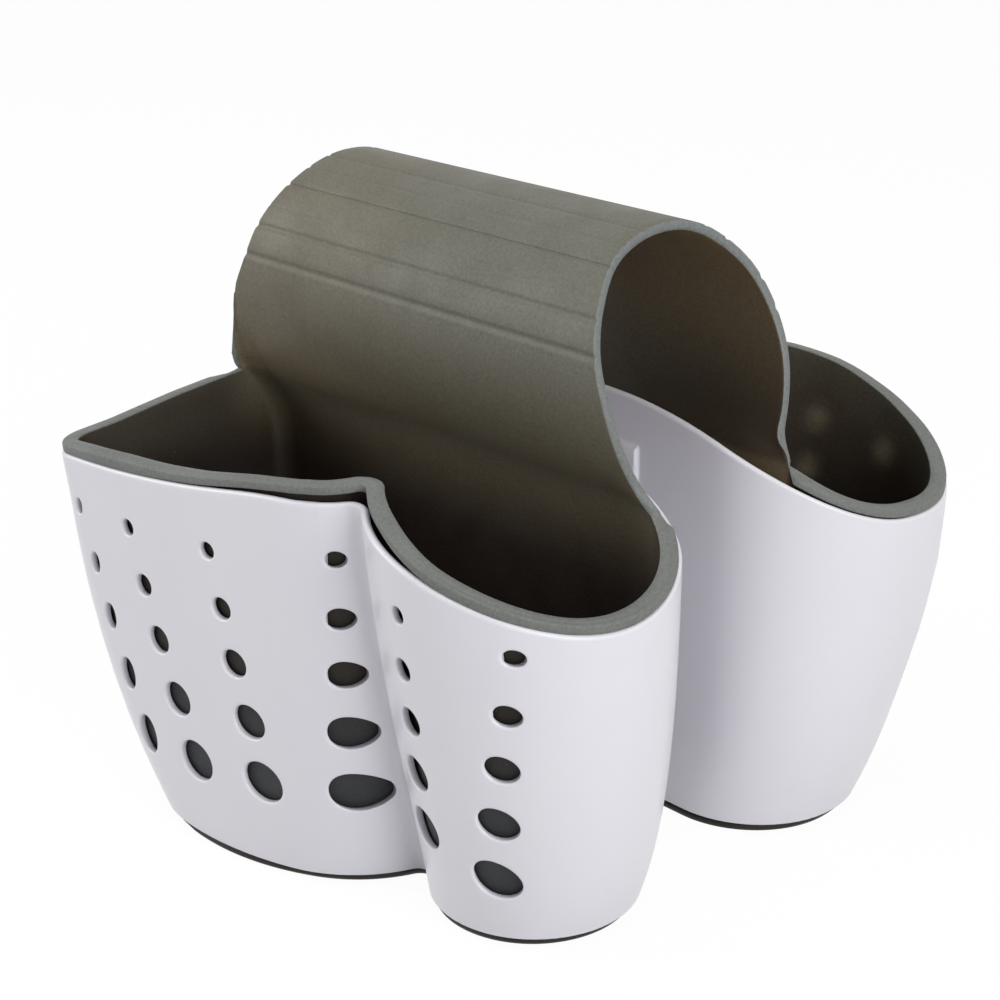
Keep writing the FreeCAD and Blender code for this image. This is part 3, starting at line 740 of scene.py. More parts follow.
    for r, width in enumerate(HOLE_WIDTHS):
        for c in range(len(HOLE_COLUMNS)):
            places, heights, wide = hole_column(c)
            i, j = row_start[1 + 2 * r], line_start[1 + 2 * c]
            n = HOLE_SIDE
            edge = ([(i, j + k) for k in range(n)] + [(i + k, j + n) for k in range(n)]
                    + [(i + n, j + n - k) for k in range(n)] + [(i + n - k, j) for k in range(n)])
            edge = np.array(edge)
            ex, ez = front_x[edge[:, 0], edge[:, 1]], front_z[edge[:, 0], edge[:, 1]]
            mx, mz = places[r], heights[r]
            turn = np.arctan2(ez - mz, (ex - mx) / wide)
            rings = [outer[edge[:, 0], edge[:, 1]]]
            big = width / 2 + HOLE_LIP
            for share in HOLE_RINGS:
                x, z = mix(ex, mx + wide * big * np.cos(turn), share), mix(ez, mz + big * np.sin(turn), share)
                rings.append(make.add(x, front_reach(form, x, z, 0.0), z))
            for bend in HOLE_BENDS:
                radius = width / 2 + HOLE_LIP * (1 - math.sin(bend))
                x, z = mx + wide * radius * np.cos(turn), mz + radius * np.sin(turn)
                rings.append(make.add(x, front_reach(form, x, z, 0.0) - HOLE_LIP * (1 - math.cos(bend)), z))
            side = np.array([-0.5, 0.5])
            slope = np.diff(front_reach(form, mx + side, mz + 0 * side, 0.0))[0]
            shift = wall * slope / math.hypot(1, slope)
            for radius, back in ((width / 2, HOLE_CHAMFER), (width / 2 + HOLE_CHAMFER, 0.0)):
                x, z = mx + shift + wide * radius * np.cos(turn), mz + radius * np.sin(turn)
                rings.append(make.add(x, front_reach(form, x, z, wall) + back, z))
            rings.append(inner[edge[:, 0], edge[:, 1]])
            make.quads(np.array(rings), True)
    return make


def dip_share(part, t):
    """How far the rim dips at a place behind the round end, beside the strap."""
    return {"tube": ramp(t, *DIP_TUBE_RUN), "wall": 1 - ramp(t, *DIP_WALL_RUN)}.get(part, 0.0)


def wall_shares(count):
    """Shares along the inner wall, closer together at the pad's two ends."""
    close = [np.linspace(*k) for k in PAD_END_SHARES]
    return np.unique(np.round(np.concatenate([even_shares(count), *close]), 4))


def pad_mask(x, z):
    """The raised pad on a shell's inner wall."""
    along = np.minimum(x - PAD_PLACES[0], PAD_PLACES[1] - x) / PAD_SLOPES[0]
    up = np.minimum(z - PAD_HEIGHTS[0], PAD_HEIGHTS[1] - z) / PAD_SLOPES[1]
    return ease(along) * ease(up)


def strap_profile(s, crown):
    """Distance from the divider and height of the strap's outer face, s along it from the crown's top."""
    quarter = crown * math.pi / 2
    haunch_x = crown - HAUNCH_RADIUS
    neck_x = NECK_WALL + NECK_RADIUS
    turn, drop = strap_turn(crown)
    neck_start = quarter + HAUNCH_RADIUS * turn
    neck_end = neck_start + NECK_RADIUS * turn
    top = s / crown
    side = (s - quarter) / HAUNCH_RADIUS
    neck = turn - (s - neck_start) / NECK_RADIUS
    v = np.select(
        [s < quarter, s < neck_start, s < neck_end],
        [crown * np.sin(top), haunch_x + HAUNCH_RADIUS * np.cos(side), neck_x - NECK_RADIUS * np.cos(neck)],
        NECK_WALL)
    z = np.select(
        [s < quarter, s < neck_start, s < neck_end],
        [CROWN_CENTRE + crown * np.cos(top), CROWN_CENTRE - HAUNCH_RADIUS * np.sin(side),
         CROWN_CENTRE - drop + NECK_RADIUS * np.sin(neck)],
        CROWN_CENTRE - drop - (s - neck_end))
    return v, z


def edge_place(points, s):
    """A strap edge's place along the divider, as a smooth line through its points."""
    at, place = np.array(points).T
    slope = np.gradient(place, at)
    k = np.clip(np.searchsorted(at, s) - 1, 0, len(at) - 2)
    span = at[k + 1] - at[k]
    t = np.clip((s - at[k]) / span, 0, 1)
    return ((1 + 2 * t) * (1 - t) ** 2 * place[k] + t * (1 - t) ** 2 * span * slope[k]
            + t * t * (3 - 2 * t) * place[k + 1] + t * t * (t - 1) * span * slope[k + 1])


def groove(s):
    """Depth of the flex grooves at s along the strap."""
    off = np.abs(s)
    return sum(depth * ease(1 - np.abs(off - at) / (width / 2)) for at, width, depth in GROOVES)


def groove_rows(start, finish):
    """Places along the strap, closer together in the grooves."""
    low, high = min(start, finish), max(start, finish)
    rows = list(np.arange(math.ceil(low / ROW_DISTANCE), high / ROW_DISTANCE) * ROW_DISTANCE)
    for at, width, _ in GROOVES:
        rows += [side * (at + f * width / 2) for side in (-1, 1) for f in GROOVE_SHARES]
    rows = [r for r in sorted(rows) if low + ROW_END_GAP < r < high - ROW_END_GAP]
    kept = [low]
    for r in rows:
        if r - kept[-1] > ROW_GAP:
            kept.append(r)
    return np.array([*kept, high])


def strap_painted_shade(s):
    """How much painted shade darkens the strap's face at s, as it runs down into the pocket."""
    return STRAP_PAINTED_SHADE * ramp(s, *STRAP_PAINTED_SHADE_RUN)


def leg_painted_glow(s):
    """How much painted amber glow, for light shining through the strap, its face has at s."""
    return mix(*LEG_PAINTED_GLOW, ramp(s, *LEG_PAINTED_GLOW_RUN))


def left_warmth(x):
    """How much browner the strap is towards the tray's end."""
    return LEFT_WARMTH * ramp(-x, *LEFT_WARMTH_RUN)


def hole_spots(form, inset, rows):
    """Soft spots inside a liner where light from the shell's holes shines through."""
    spots = np.zeros(rows[:, 0].shape)
    for x, z in LIGHT_SPOTS:
        v = front_reach(form, np.array(x), np.array(z), inset)
        away = (rows[:, 0] - x) ** 2 + (rows[:, 1] - v) ** 2 + (rows[:, 2] - z) ** 2
        spots += np.exp(-away / LIGHT_SPOT_RADIUS ** 2)
    return np.minimum(spots, 1.0)


def edge_profile(count):
    """Shares across a cut edge and how far it swells out there."""
    share = np.linspace(0, 1, count + 2)[1:-1]
    share = 0.5 - 0.5 * np.cos(share * math.pi)
    return share, EDGE_SWELL * (1 - np.abs(2 * share - 1) ** EDGE_POWER)


def strap_turn(crown):
    """How far the haunch turns before the neck, and the neck's drop below the crown's centre."""
    across = NECK_WALL + NECK_RADIUS - (crown - HAUNCH_RADIUS)
    drop = math.sqrt((HAUNCH_RADIUS + NECK_RADIUS) ** 2 - across ** 2)
    return math.atan2(drop, across), drop


def strap_length(z, crown):
    """Length along the strap from the crown's top down to height z."""
    turn, drop = strap_turn(crown)
    quarter = crown * math.pi / 2
    side = np.arcsin(np.clip((CROWN_CENTRE - z) / HAUNCH_RADIUS, 0, math.sin(turn)))
    neck = turn - np.arcsin(np.clip((z - CROWN_CENTRE + drop) / NECK_RADIUS, 0, math.sin(turn)))
    return quarter + HAUNCH_RADIUS * side + NECK_RADIUS * neck


def lean_over(z, crown):
    """How far the neck of the strap leans over the pocket at height z."""
    turn, drop = strap_turn(crown)
    above, rise = z - (CROWN_CENTRE - drop), NECK_RADIUS * math.sin(turn)
    neck = NECK_RADIUS - np.sqrt(NECK_RADIUS ** 2 - np.clip(above, 0, rise) ** 2)
    return neck + np.clip(above - rise, 0, None) * math.tan(turn)


def smooth(values, rounds):
    """Evens out values round the pocket, each with its two neighbours."""
    for _ in range(rounds):
        values = (np.roll(values, 1) + 2 * values + np.roll(values, -1)) / 4
    return values


def liner_stations(form, inset):
    """Outline part and share of each of the liner's columns, and the strap's first and last column."""
    stations = [(part, k / n) for part, n in LINER_COUNTS for k in range(n)]
    parts = np.array([p for p, _ in stations])
    shares = np.array([t for _, t in stations])
    tube, count = int(np.argmax(parts == "tube")), dict(LINER_COUNTS)["tube"]
    s = section(form, CORNER_LEVEL, inset)
    corner_turn = -math.acos(min(1.0, (CORNER_PLACE - s.tube_x) / s.tube_r))
    corner_share = (corner_turn - s.tube_turn) / (-math.pi / 2 - s.tube_turn)
    split = int(round(count * CORNER_SPLIT))
    first = tube + split
    shares[tube:first] = np.linspace(0, corner_share, split + 1)[:-1]
    shares[first:tube + count] = np.linspace(corner_share, 1, count - split + 1)[:-1]
    end_v = walk(form, "end", shares, np.full(len(shares), RIM_GUESS), inset)[1]
    last = int(np.argmax((parts == "end") & (end_v > STRAP_END_REACH)))
    return parts, shares, first, last


def close_floor(make, ring, level):
    """Closes a ring of points with a flat floor at a height, in full painted shade."""
    middle = np.array(FLOOR_MIDDLE)[:, None]
    edge = np.array(make.points)[ring][:, :2].T
    rings = [ring] + [make.add(*(middle + (edge - middle) * k), level, 1.0) for k in FLOOR_RINGS]
    make.quads(np.array(rings), True)
    make.fan(rings[-1], make.add(*FLOOR_MIDDLE, level, 1.0).item())


def liner_skin(form, wall, crown, shell_wall):
    """One liner with its flange and its leg of the strap, as a closed skin."""
    make = MeshMaker()
    out_inset = shell_wall + LINER_GAP
    in_inset = out_inset + wall
    parts, shares, first, last = liner_stations(form, in_inset)
    total = len(parts)
    strap = np.arange(first, last + 1)
    along = np.linspace(0, 1, len(strap))

    def place(z, inset):
        """Plan of every station at its own height, with the pull at the crease."""
        x, v = np.zeros(total), np.zeros(total)
        z = np.broadcast_to(np.asarray(z, float), (total,))
        inset = np.broadcast_to(inset, (total,)) + pull_in * ramp(z, *PULL_RUN)
        for part, _ in LINER_COUNTS:
            k = parts == part
            x[k], v[k] = walk(form, part, shares[k], z[k], inset[k])
        return x, v

    # The rim, and how far the flange stands above it.
    pull_in = np.zeros(total)
    plan_x, plan_v = place(PLAN_LEVEL, FLANGE_EDGE)
    far = plan_v > FRONT_SIDE
    pull_in = smooth(np.where(far, np.interp(plan_x, PULL_PLACES, PULL_SIZES), 0.0), 3)
    rim = np.full(total, RIM_GUESS)
    for _ in range(6):
        rim = rim_height(form, *place(rim, FLANGE_EDGE))
    front = far & (parts != "end")
    rise = np.where(front, np.interp(plan_x, RISE_PLACES, RISE_SIZES), FLANGE_RISE)
    clear = np.where(front, np.interp(plan_x, CLEAR_PLACES, CLEAR_SIZES), 0.0)
    end = (parts == "end") | (parts == "heel")
    rise[end] = np.interp(plan_v[end], END_RISE_PLACES, END_RISE_SIZES)
    behind = (parts == "tube") & ~front
    rise[behind] = mix(RISE_SIZES[-1], FLANGE_STRAP_RISE, ramp(-plan_v[behind], *STRAP_RISE_RUN))
    top = rim + rise - CUP_BELOW_FLANGE
    top[strap] = mix(top[first], top[last], along)

    # How much of the neck's lean each column takes.
    lean = np.zeros(total)
    lean[strap] = np.minimum(ease(along / LEAN_GROWTH) * 0.5 + 0.5, 1.0)
    lean[first - LEAN_COLUMNS:first] = 0.5 * ease(np.linspace(0, 1, LEAN_COLUMNS))
    in_x, in_v = place(rim, in_inset)
    broad = parts == "wall"
    lean[broad] += WALL_LEAN * ramp(-in_x[broad], *WALL_LEAN_RUN)
    turned = np.arange(int(np.argmax(parts == "heel")), last + 1)
    over = lean_over(top[turned], crown)
    reach = mix(in_v[turned[0]] + HEEL_LEAN * over, STRAP_END_REACH + END_LEAN, np.linspace(0, 1, len(turned)))
    lean[turned] = np.clip((reach - in_v[turned]) / over, 0, None)

    def wall_row(z, inset):
        """Points of every station on the wall."""
        x, v = place(z, inset)
        return x, v + lean * lean_over(np.asarray(z), crown), np.broadcast_to(z, (total,)).astype(float)

    # The cup's inside, from the floor's fillet up.
    rows = [wall_row(np.full(total, FLOOR_TOP + FLOOR_FILLET * (1 - math.cos(turn))),
                     in_inset + FLOOR_FILLET * (1 - math.sin(turn))) for turn in FILLET_TURNS]
    rows += [wall_row(mix(FLOOR_TOP + FLOOR_FILLET, top, k), in_inset) for k in np.linspace(0, 1, LINER_ROWS)]
    inside = np.array(rows)
    # Painted shade: the cup's inside darkens from the tone at its top to full shade a short way down; the strap's
    # columns take the strap's painted shade.
    rim_painted_shade = np.full(total, RIM_PAINTED_SHADE)
    rim_painted_shade[(parts == "end") | (parts == "corner")] = END_PAINTED_SHADE
    rim_painted_shade[strap] = strap_painted_shade(strap_length(top[strap], crown))
    rim_painted_shade = smooth(rim_painted_shade, 6)
    painted_shade_rows = np.array([mix(rim_painted_shade, 1.0, ease((top - row[2]) / PAINTED_SHADE_DROP)) for row in rows])

    # The strap's leg, from the cup's edge up to the seam.
    base = inside[-1][:, strap]
    base_s = strap_length(base[2], crown)
    bend = base[1] - strap_profile(base_s, crown)[0]
    right, left = edge_place(RIGHT_EDGE, base_s), edge_place(LEFT_EDGE, base_s)
    spread = (base[0] - right) / (left - right)
    even = (spread - spread[0]) / (spread[-1] - spread[0])
    steps = [mix(base_s, STRAP_MEET, t) for t in even_shares(FOOT_ROWS)]
    steps += [np.full(len(strap), k) for k in groove_rows(SEAM * crown, STRAP_MEET)[::-1][1:]]
    bend_length = mix(*BEND_LENGTHS, ramp(along, *BEND_LENGTH_RUN))
    strap_rows = []
    for at in steps:
        v, z = strap_profile(at, crown)
        right, left = edge_place(RIGHT_EDGE, at), edge_place(LEFT_EDGE, at)
        fade = ease((at - base_s + bend_length) / bend_length)
        across = mix(even, spread, ramp(at, STRAP_MEET, base_s - STRAP_MEET))
        strap_rows.append((right + across * (left - right), v + bend * fade, z))
    strap_rows = np.array(strap_rows)
    # Less painted shade near the leg's cut edges, a painted glow of light shining through them.
    near_edge = np.exp(-np.minimum(even, 1 - even) * STRAP_WIDTH / EDGE_FADE)
    strap_painted_shade_rows = np.array([strap_painted_shade(at) * (1 - EDGE_PALER * near_edge) for at in steps])

    # The leg's two faces: the grooves are cut in one, and the wall's thickness away is the other.
    sheet = np.moveaxis(np.concatenate([inside[SHEET_FOOT:, :, strap], strap_rows]), 1, -1)
    normal = np.cross(np.gradient(sheet, axis=1), np.gradient(sheet, axis=0))
    normal /= np.linalg.norm(normal, axis=-1, keepdims=True)
    if normal[0, len(strap) // 2, 1] > 0:
        normal = -normal
    low_rows = len(inside) - SHEET_FOOT
    near_base = np.clip(1 - (np.arange(len(sheet)) - low_rows) / BASE_ROWS, 0, 1)
    normal[low_rows:, :, 0] *= ease(near_base[low_rows:, None])
    normal /= np.linalg.norm(normal, axis=-1, keepdims=True)
    near_base[:low_rows] = 0.0
    at_edge = np.exp(-np.arange(len(strap)) / EDGE_COLUMNS)[None, :]
    thick = wall * (1 + EDGE_THICKER * form.full * ease(near_base)[:, None] * at_edge)
    back = sheet + thick[..., None] * normal
    dent = np.concatenate([np.zeros((low_rows, len(strap))), np.array([groove(at) for at in steps])])
    face = sheet + dent[..., None] * normal

    # The cup's outside, up to the strap's back and the flange's foot.
    outside = np.array([wall_row(row[2], out_inset) for row in inside[len(FILLET_TURNS):]])
    outside[SHEET_FOOT - len(FILLET_TURNS):, :, strap] = np.moveaxis(back[:low_rows], -1, 1)
    around = np.arange(last, total + first + 1) % total
    plan = np.stack(place(rim, FLANGE_EDGE), 1)[around]
    gone = np.concatenate([[0], np.cumsum(np.linalg.norm(np.diff(plan, axis=0), axis=1))])
    whole = np.zeros(total)
    whole[around] = ease(np.minimum(gone / FLANGE_LEFT_FADE, (gone[-1] - gone) / mix(*FLANGE_RIGHT_FADES, form.full)))
    flange_foot = mix(top, rim + clear - FLANGE_DEPTH, whole)
    bare = np.setdiff1d(np.arange(total), strap)
    high = outside[:, 2, bare]
    stretch = (flange_foot[bare] - high[0]) / (high[-1] - high[0])
    outside[:, 2, bare] = FLOOR_TOP + FLOOR_FILLET + (high - high[0]) * stretch
    for row in outside:
        x, v, _ = wall_row(row[2], out_inset)
        row[0, bare], row[1, bare] = x[bare], v[bare]

    # Both faces of the cup and of the leg, with their painted shade and painted glow.
    spots = hole_spots(form, in_inset, inside)
    # Painted amber glow along the rim inside and on the leg, and at the spots where light shines in through the
    # holes.
    painted_glow_top = np.full(total, RIM_PAINTED_GLOW)
    painted_glow_top[strap] = leg_painted_glow(base_s)
    painted_glow_top = smooth(painted_glow_top, 12)
    painted_glow_rows = SPOT_PAINTED_GLOW * spots + painted_glow_top * ramp(inside[:, 2], *RIM_PAINTED_GLOW_RUN)
    cup_in = make.add(*np.moveaxis(inside, 1, 0), painted_shade_rows - SPOT_LIGHT * spots, painted_glow_rows)
    make.quads(cup_in, True)
    # Painted shade: the cup's outside is near black low down, in the gap between liner and shell; on the leg's back
    # near the top, a painted glow.
    cool = -1 + ramp(outside[:, 2], *CAVITY_SHADE_RUN)
    cool[:, strap] = np.maximum(cool[:, strap], LOW_BACK_PAINTED_GLOW * ramp(outside[:, 2][:, strap], *LOW_BACK_PAINTED_GLOW_RUN))
    cup_out = make.add(*np.moveaxis(outside, 1, 0), 1.0, cool)
    make.quads(cup_out, True)
    leg_glow_and_tint = np.array([leg_painted_glow(at) for at in steps]) + left_warmth(strap_rows[:, 0])
    leg_face = make.add(*np.moveaxis(face[low_rows:], -1, 0), strap_painted_shade_rows, leg_glow_and_tint)
    # The leg's back: a painted glow of light shining through near the crown that fades, and painted shade growing
    # further down.
    glow = np.array([mix(*BACK_GLOW, ramp(at, *BACK_GLOW_RUN)) for at in steps])
    back_shade = np.array([mix(*BACK_PAINTED_SHADE, ramp(at, *BACK_PAINTED_SHADE_RUN)) for at in steps])
    leg_back = make.add(*np.moveaxis(back[low_rows:], -1, 0), back_shade, glow)
    make.quads(np.vstack([cup_in[-1][strap], leg_face]))
    make.quads(np.vstack([cup_out[-1][strap], leg_back]))

    # One strip of edge all round: the leg's cut edges and seam, and the flange.
    loop = [("edge", i, 0) for i in range(len(leg_face))]
    loop += [("seam", len(leg_face) - 1, j) for j in range(1, len(strap) - 1)]
    loop += [("edge", i, len(strap) - 1) for i in reversed(range(len(leg_face)))]
    loop += [("rim", 0, j) for j in around]
    share, swell = edge_profile(len(FLANGE_PROFILE))
    grid = np.array(make.points)
    strips = []
    for kind, i, j in loop:
        if kind == "rim":
            a, b = cup_in[-1, j], cup_out[-1, j]
            rows = []
            for k, (inset, up) in enumerate(FLANGE_PROFILE):
                z = rim[j] + clear[j] + up * (rise[j] - clear[j]) / FLANGE_RISE
                pull = pull_in[j] * ramp(z, *PULL_RUN)
                x, v = walk(form, parts[j], shares[j], z, in_inset + inset + pull)
                v = v + lean[j] * lean_over(z, crown)
                plain = mix(grid[a], grid[b], share[k]) + np.array([0, 0, swell[k] + FLANGE_SWELL])
                rows.append(mix(plain, np.array([x, v, z]), whole[j]))
        else:
            a, b = leg_face[i, j], leg_back[i, j]
            out = np.zeros(3)
            if kind == "edge":
                inner_j = 1 if j == 0 else j - 1
                out = grid[leg_face[i, j]] - grid[leg_face[i, inner_j]]
                out /= np.linalg.norm(out)
            rows = [mix(grid[a], grid[b], share[k]) + out * swell[k] for k in range(len(share))]
        middle = make.add(*np.array(rows).T, EDGE_TONE if kind == "edge" else FLANGE_TONE)
        strips.append([a, *middle, b])
    make.quads(np.array(strips + strips[:1]))

    # The floor inside, then the sole that stands proud under the shell, both in full painted shade.
    close_floor(make, cup_in[0], FLOOR_TOP)
    sole = [cup_out[0]]
    for z, inset in SOLE_PROFILE:
        sole.append(make.add(*place(z, out_inset + inset), z, 1.0))
    make.quads(np.array(sole), True)
    close_floor(make, sole[-1], 0.0)
    return make


def crown_skin(wall, crown):
    """The top of the strap between the two seams, as a closed skin."""
    make = MeshMaker()
    seam_s = SEAM * crown
    rows = groove_rows(-seam_s, seam_s)
    share = np.linspace(0, 1, CROWN_COLUMNS)
    turn = rows / crown
    right = edge_place(RIGHT_EDGE, np.abs(rows))
    left = edge_place(LEFT_EDGE, np.abs(rows))
    x = right[:, None] + (left - right)[:, None] * share
    radius = crown - groove(rows)

    def face(r):
        return x, (r * np.sin(turn))[:, None] + 0 * x, (CROWN_CENTRE + r * np.cos(turn))[:, None] + 0 * x

    top = make.add(*face(radius), 0.0, left_warmth(x))
    # The underside gets the full painted amber glow, for light shining through the strap.
    under = make.add(*face(np.full(len(rows), crown - wall)), 0.0, 1.0)
    make.quads(top)
    make.quads(under)
    grid = np.array(make.points)
    across, swell = edge_profile(CROWN_EDGE_ROWS)
    loop = [(i, 0) for i in range(len(rows))] + [(len(rows) - 1, j) for j in range(1, len(share) - 1)]
    loop += [(i, len(share) - 1) for i in reversed(range(len(rows)))]
    loop += [(0, j) for j in reversed(range(1, len(share) - 1))]
    strips = []
    for i, j in loop:
        a, b = top[i, j], under[i, j]
        out = np.array([1.0 if j == 0 else -1.0 if j == len(share) - 1 else 0.0, 0, 0])
        points = np.array([mix(grid[a], grid[b], f) + out * h for f, h in zip(across, swell)])
        strips.append([a, *make.add(*points.T, EDGE_TONE if out[0] else 0.0), b])
    make.quads(np.array(strips + strips[:1]))
    return make


def new_material(name):
    """A material with nothing but a shader in it."""
    material = bpy.data.materials.new(name)
    material.use_nodes = True
    nodes = material.node_tree.nodes
    nodes.clear()
    output = nodes.new("ShaderNodeOutputMaterial")
    shader = nodes.new("ShaderNodeBsdfPrincipled")
    material.node_tree.links.new(shader.outputs["BSDF"], output.inputs["Surface"])
    return material, material.node_tree, shader


def math_node(tree, operation, *values):
    """The result of a sum on sockets or numbers."""
    node = tree.nodes.new("ShaderNodeMath")
    node.operation = operation
    for value, socket in zip(values, node.inputs):
        if isinstance(value, bpy.types.NodeSocket):
            tree.links.new(value, socket)
        else:
            socket.default_value = value
    return node.outputs[0]


def mix_colour(tree, share, a, b, blend="MIX"):
    """A colour between a and b; each is a colour or a socket."""
    node = tree.nodes.new("ShaderNodeMix")
    node.data_type, node.blend_type = "RGBA", blend
    tree.links.new(share, node.inputs["Factor"])
    for value, socket in ((a, node.inputs["A"]), (b, node.inputs["B"])):
        if isinstance(value, bpy.types.NodeSocket):
            tree.links.new(value, socket)
        else:
            socket.default_value = (*value, 1.0)
    return node.outputs["Result"]


def map_range(tree, value, low, high, to_low, to_high):
    """A value moved from one range to another, and kept inside it."""
    node = tree.nodes.new("ShaderNodeMapRange")
    for name, number in (("From Min", low), ("From Max", high), ("To Min", to_low), ("To Max", to_high)):
        node.inputs[name].default_value = number
    tree.links.new(value, node.inputs["Value"])
    return node.outputs["Result"]


def grain_group():
    """Fine moulded grain, soft blotches and dust specks, by place on the object."""
    group = bpy.data.node_groups.new("moulded_grain", "ShaderNodeTree")
    face = group.interface
    sizes = (("Grain Scale", 1500.0), ("Blotch Scale", 60.0), ("Dust Scale", 700.0), ("Dust Share", 0.02))
    for name, default in sizes:
        socket = face.new_socket(name, in_out="INPUT", socket_type="NodeSocketFloat")
        socket.default_value = default
    for name in ("Grain", "Blotch", "Dust"):
        face.new_socket(name, in_out="OUTPUT", socket_type="NodeSocketFloat")
    nodes, links = group.nodes, group.links
    start, finish = nodes.new("NodeGroupInput"), nodes.new("NodeGroupOutput")
    place = nodes.new("ShaderNodeTexCoord")
    for name in ("Grain", "Blotch"):
        noise = nodes.new("ShaderNodeTexNoise")
        noise.inputs["Detail"].default_value = 3.0
        links.new(place.outputs["Object"], noise.inputs["Vector"])
        links.new(start.outputs[name + " Scale"], noise.inputs["Scale"])
        links.new(noise.outputs["Fac"], finish.inputs[name])
    cells = nodes.new("ShaderNodeTexVoronoi")
    links.new(place.outputs["Object"], cells.inputs["Vector"])
    links.new(start.outputs["Dust Scale"], cells.inputs["Scale"])
    few = nodes.new("ShaderNodeSeparateColor")
    links.new(cells.outputs["Color"], few.inputs["Color"])
    chosen = math_node(group, "LESS_THAN", few.outputs["Red"], start.outputs["Dust Share"])
    near = map_range(group, cells.outputs["Distance"], 0.30, 0.12, 0.0, 1.0)
    links.new(math_node(group, "MULTIPLY", chosen, near), finish.inputs["Dust"])
    return group


def grain_effect(tree, shader, grain, strength, sizes):
    """The shared grain in one finish, with its own sizes, as a fine relief."""
    effect = tree.nodes.new("ShaderNodeGroup")
    effect.node_tree = grain
    for name, value in sizes.items():
        effect.inputs[name].default_value = value
    bump = tree.nodes.new("ShaderNodeBump")
    bump.inputs["Strength"].default_value = strength
    bump.inputs["Distance"].default_value = GRAIN_HEIGHT
    tree.links.new(effect.outputs["Grain"], bump.inputs["Height"])
    tree.links.new(bump.outputs["Normal"], shader.inputs["Normal"])
    return effect.outputs


def shell_material(colours, grain):
    """Glossy white moulded plastic."""
    material, tree, shader = new_material("white_shell")
    sizes = {"Grain Scale": 900.0, "Blotch Scale": 35.0, "Dust Share": 0.004}
    effect = grain_effect(tree, shader, grain, 0.05, sizes)
    white = tuple(colours.shell)
    cool = tuple(k * f for k, f in zip(white, (0.97, 0.965, 0.985)))
    share = map_range(tree, effect["Blotch"], 0.2, 0.8, 0.0, 1.0)
    tree.links.new(mix_colour(tree, share, white, cool), shader.inputs["Base Color"])
    tree.links.new(map_range(tree, effect["Blotch"], 0.2, 0.8, 0.26, 0.36), shader.inputs["Roughness"])
    shader.inputs["IOR"].default_value = 1.49
    return material


def liner_material(colours, grain):
    """Soft grey rubbery plastic, with painted brown shade where light hardly reaches it and a painted amber glow
    where light shines through.
    """
    material, tree, shader = new_material("soft_liner")
    sizes = {"Grain Scale": 1400.0, "Blotch Scale": 70.0, "Dust Scale": 1500.0, "Dust Share": 0.01}
    effect = grain_effect(tree, shader, grain, 0.25, sizes)
    grey = tuple(colours.liner)
    pale = tuple(k * f for k, f in zip(grey, (1.32, 1.42, 1.72)))
    colour = grey
    # Each tone of the surface, the value at which its colour is full, and that colour: painted shade deep inside, the
    # pale edge, painted amber glow and the painted shade of the cavity.
    for kind, full, to in (("painted_shade_and_pale_edge", 1.0, colours.depth), ("painted_shade_and_pale_edge", EDGE_TONE, pale),
                           ("painted_glow_shade_and_tint", 1.0, colours.glow), ("painted_glow_shade_and_tint", -1.0, colours.cavity_shade)):
        tone = tree.nodes.new("ShaderNodeAttribute")
        tone.attribute_name = kind
        share = map_range(tree, tone.outputs["Fac"], 0.0, full, 0.0, 1.0)
        colour = mix_colour(tree, share, colour, tuple(to))
    patch = map_range(tree, effect["Blotch"], 0.2, 0.8, 0.0, 0.2)
    colour = mix_colour(tree, patch, colour, (0.55, 0.55, 0.55), "MULTIPLY")
    speck = map_range(tree, effect["Grain"], 0.35, 0.65, 0.0, 0.6)
    colour = mix_colour(tree, speck, colour, (0.66, 0.66, 0.62), "MULTIPLY")
    dust = map_range(tree, effect["Dust"], 0.0, 1.0, 0.0, 0.10)
    colour = mix_colour(tree, dust, colour, (0.5, 0.5, 0.45))
    tree.links.new(colour, shader.inputs["Base Color"])
    tree.links.new(map_range(tree, effect["Blotch"], 0.3, 0.7, 0.5, 0.66), shader.inputs["Roughness"])
    shader.inputs["Specular IOR Level"].default_value = 0.35
    return material


def shared_grain():
    """The grain group, made the first time it is asked for."""
    return bpy.data.node_groups.get("moulded_grain") or grain_group()


def finish_of(name, maker):
    """The named finish, made the first time it is asked for."""
    return bpy.data.materials.get(name) or maker(bpy.context.scene.caddy_colours, shared_grain())


class CADDY_OT_shells(bpy.types.Operator):
    """Builds the two pierced white shells"""

    bl_idname = "caddy.shells"
    bl_label = "Shells"

    def execute(self, context):
        sizes = context.scene.caddy_sizes
        for side, name, dip in ((-1, "front", FRONT_DIP), (1, "rear", 0.0)):
            form = pocket_form(sizes, SHELL_CREASE, side)
            shell = shell_skin(form, sizes.shell_wall / MM, dip).build(name + "_shell_skin", side)
            shell.data.materials.append(finish_of("white_shell", shell_material))
            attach(shell, name + "_pocket")
            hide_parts(name + "_shell")
        return {"FINISHED"}


class CADDY_OT_liners(bpy.types.Operator):
    """Builds the two soft liners with their legs of the strap"""

    bl_idname = "caddy.liners"
    bl_label = "Liners"

    def execute(self, context):
        sizes = context.scene.caddy_sizes
        crown = sizes.crown_radius / MM
        for side, name in ((-1, "front"), (1, "rear")):
            form = pocket_form(sizes, LINER_CREASE, side)
            skin = liner_skin(form, sizes.liner_wall / MM, crown, sizes.shell_wall / MM)
            liner = skin.build(name + "_liner_skin", side)
            liner.data.materials.append(finish_of("soft_liner", liner_material))
            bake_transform(liner)
            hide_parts(name + "_liner")
        return {"FINISHED"}


class CADDY_OT_crown(bpy.types.Operator):
    """Builds the grooved top of the strap"""

    bl_idname = "caddy.crown"
    bl_label = "Strap crown"

    def execute(self, context):
        sizes = context.scene.caddy_sizes
        crown = crown_skin(sizes.liner_wall / MM, sizes.crown_radius / MM).build("saddle_crown_skin", 1)
        crown.data.materials.append(finish_of("soft_liner", liner_material))
        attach(crown, "saddle")
        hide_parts("saddle_crown")
        return {"FINISHED"}


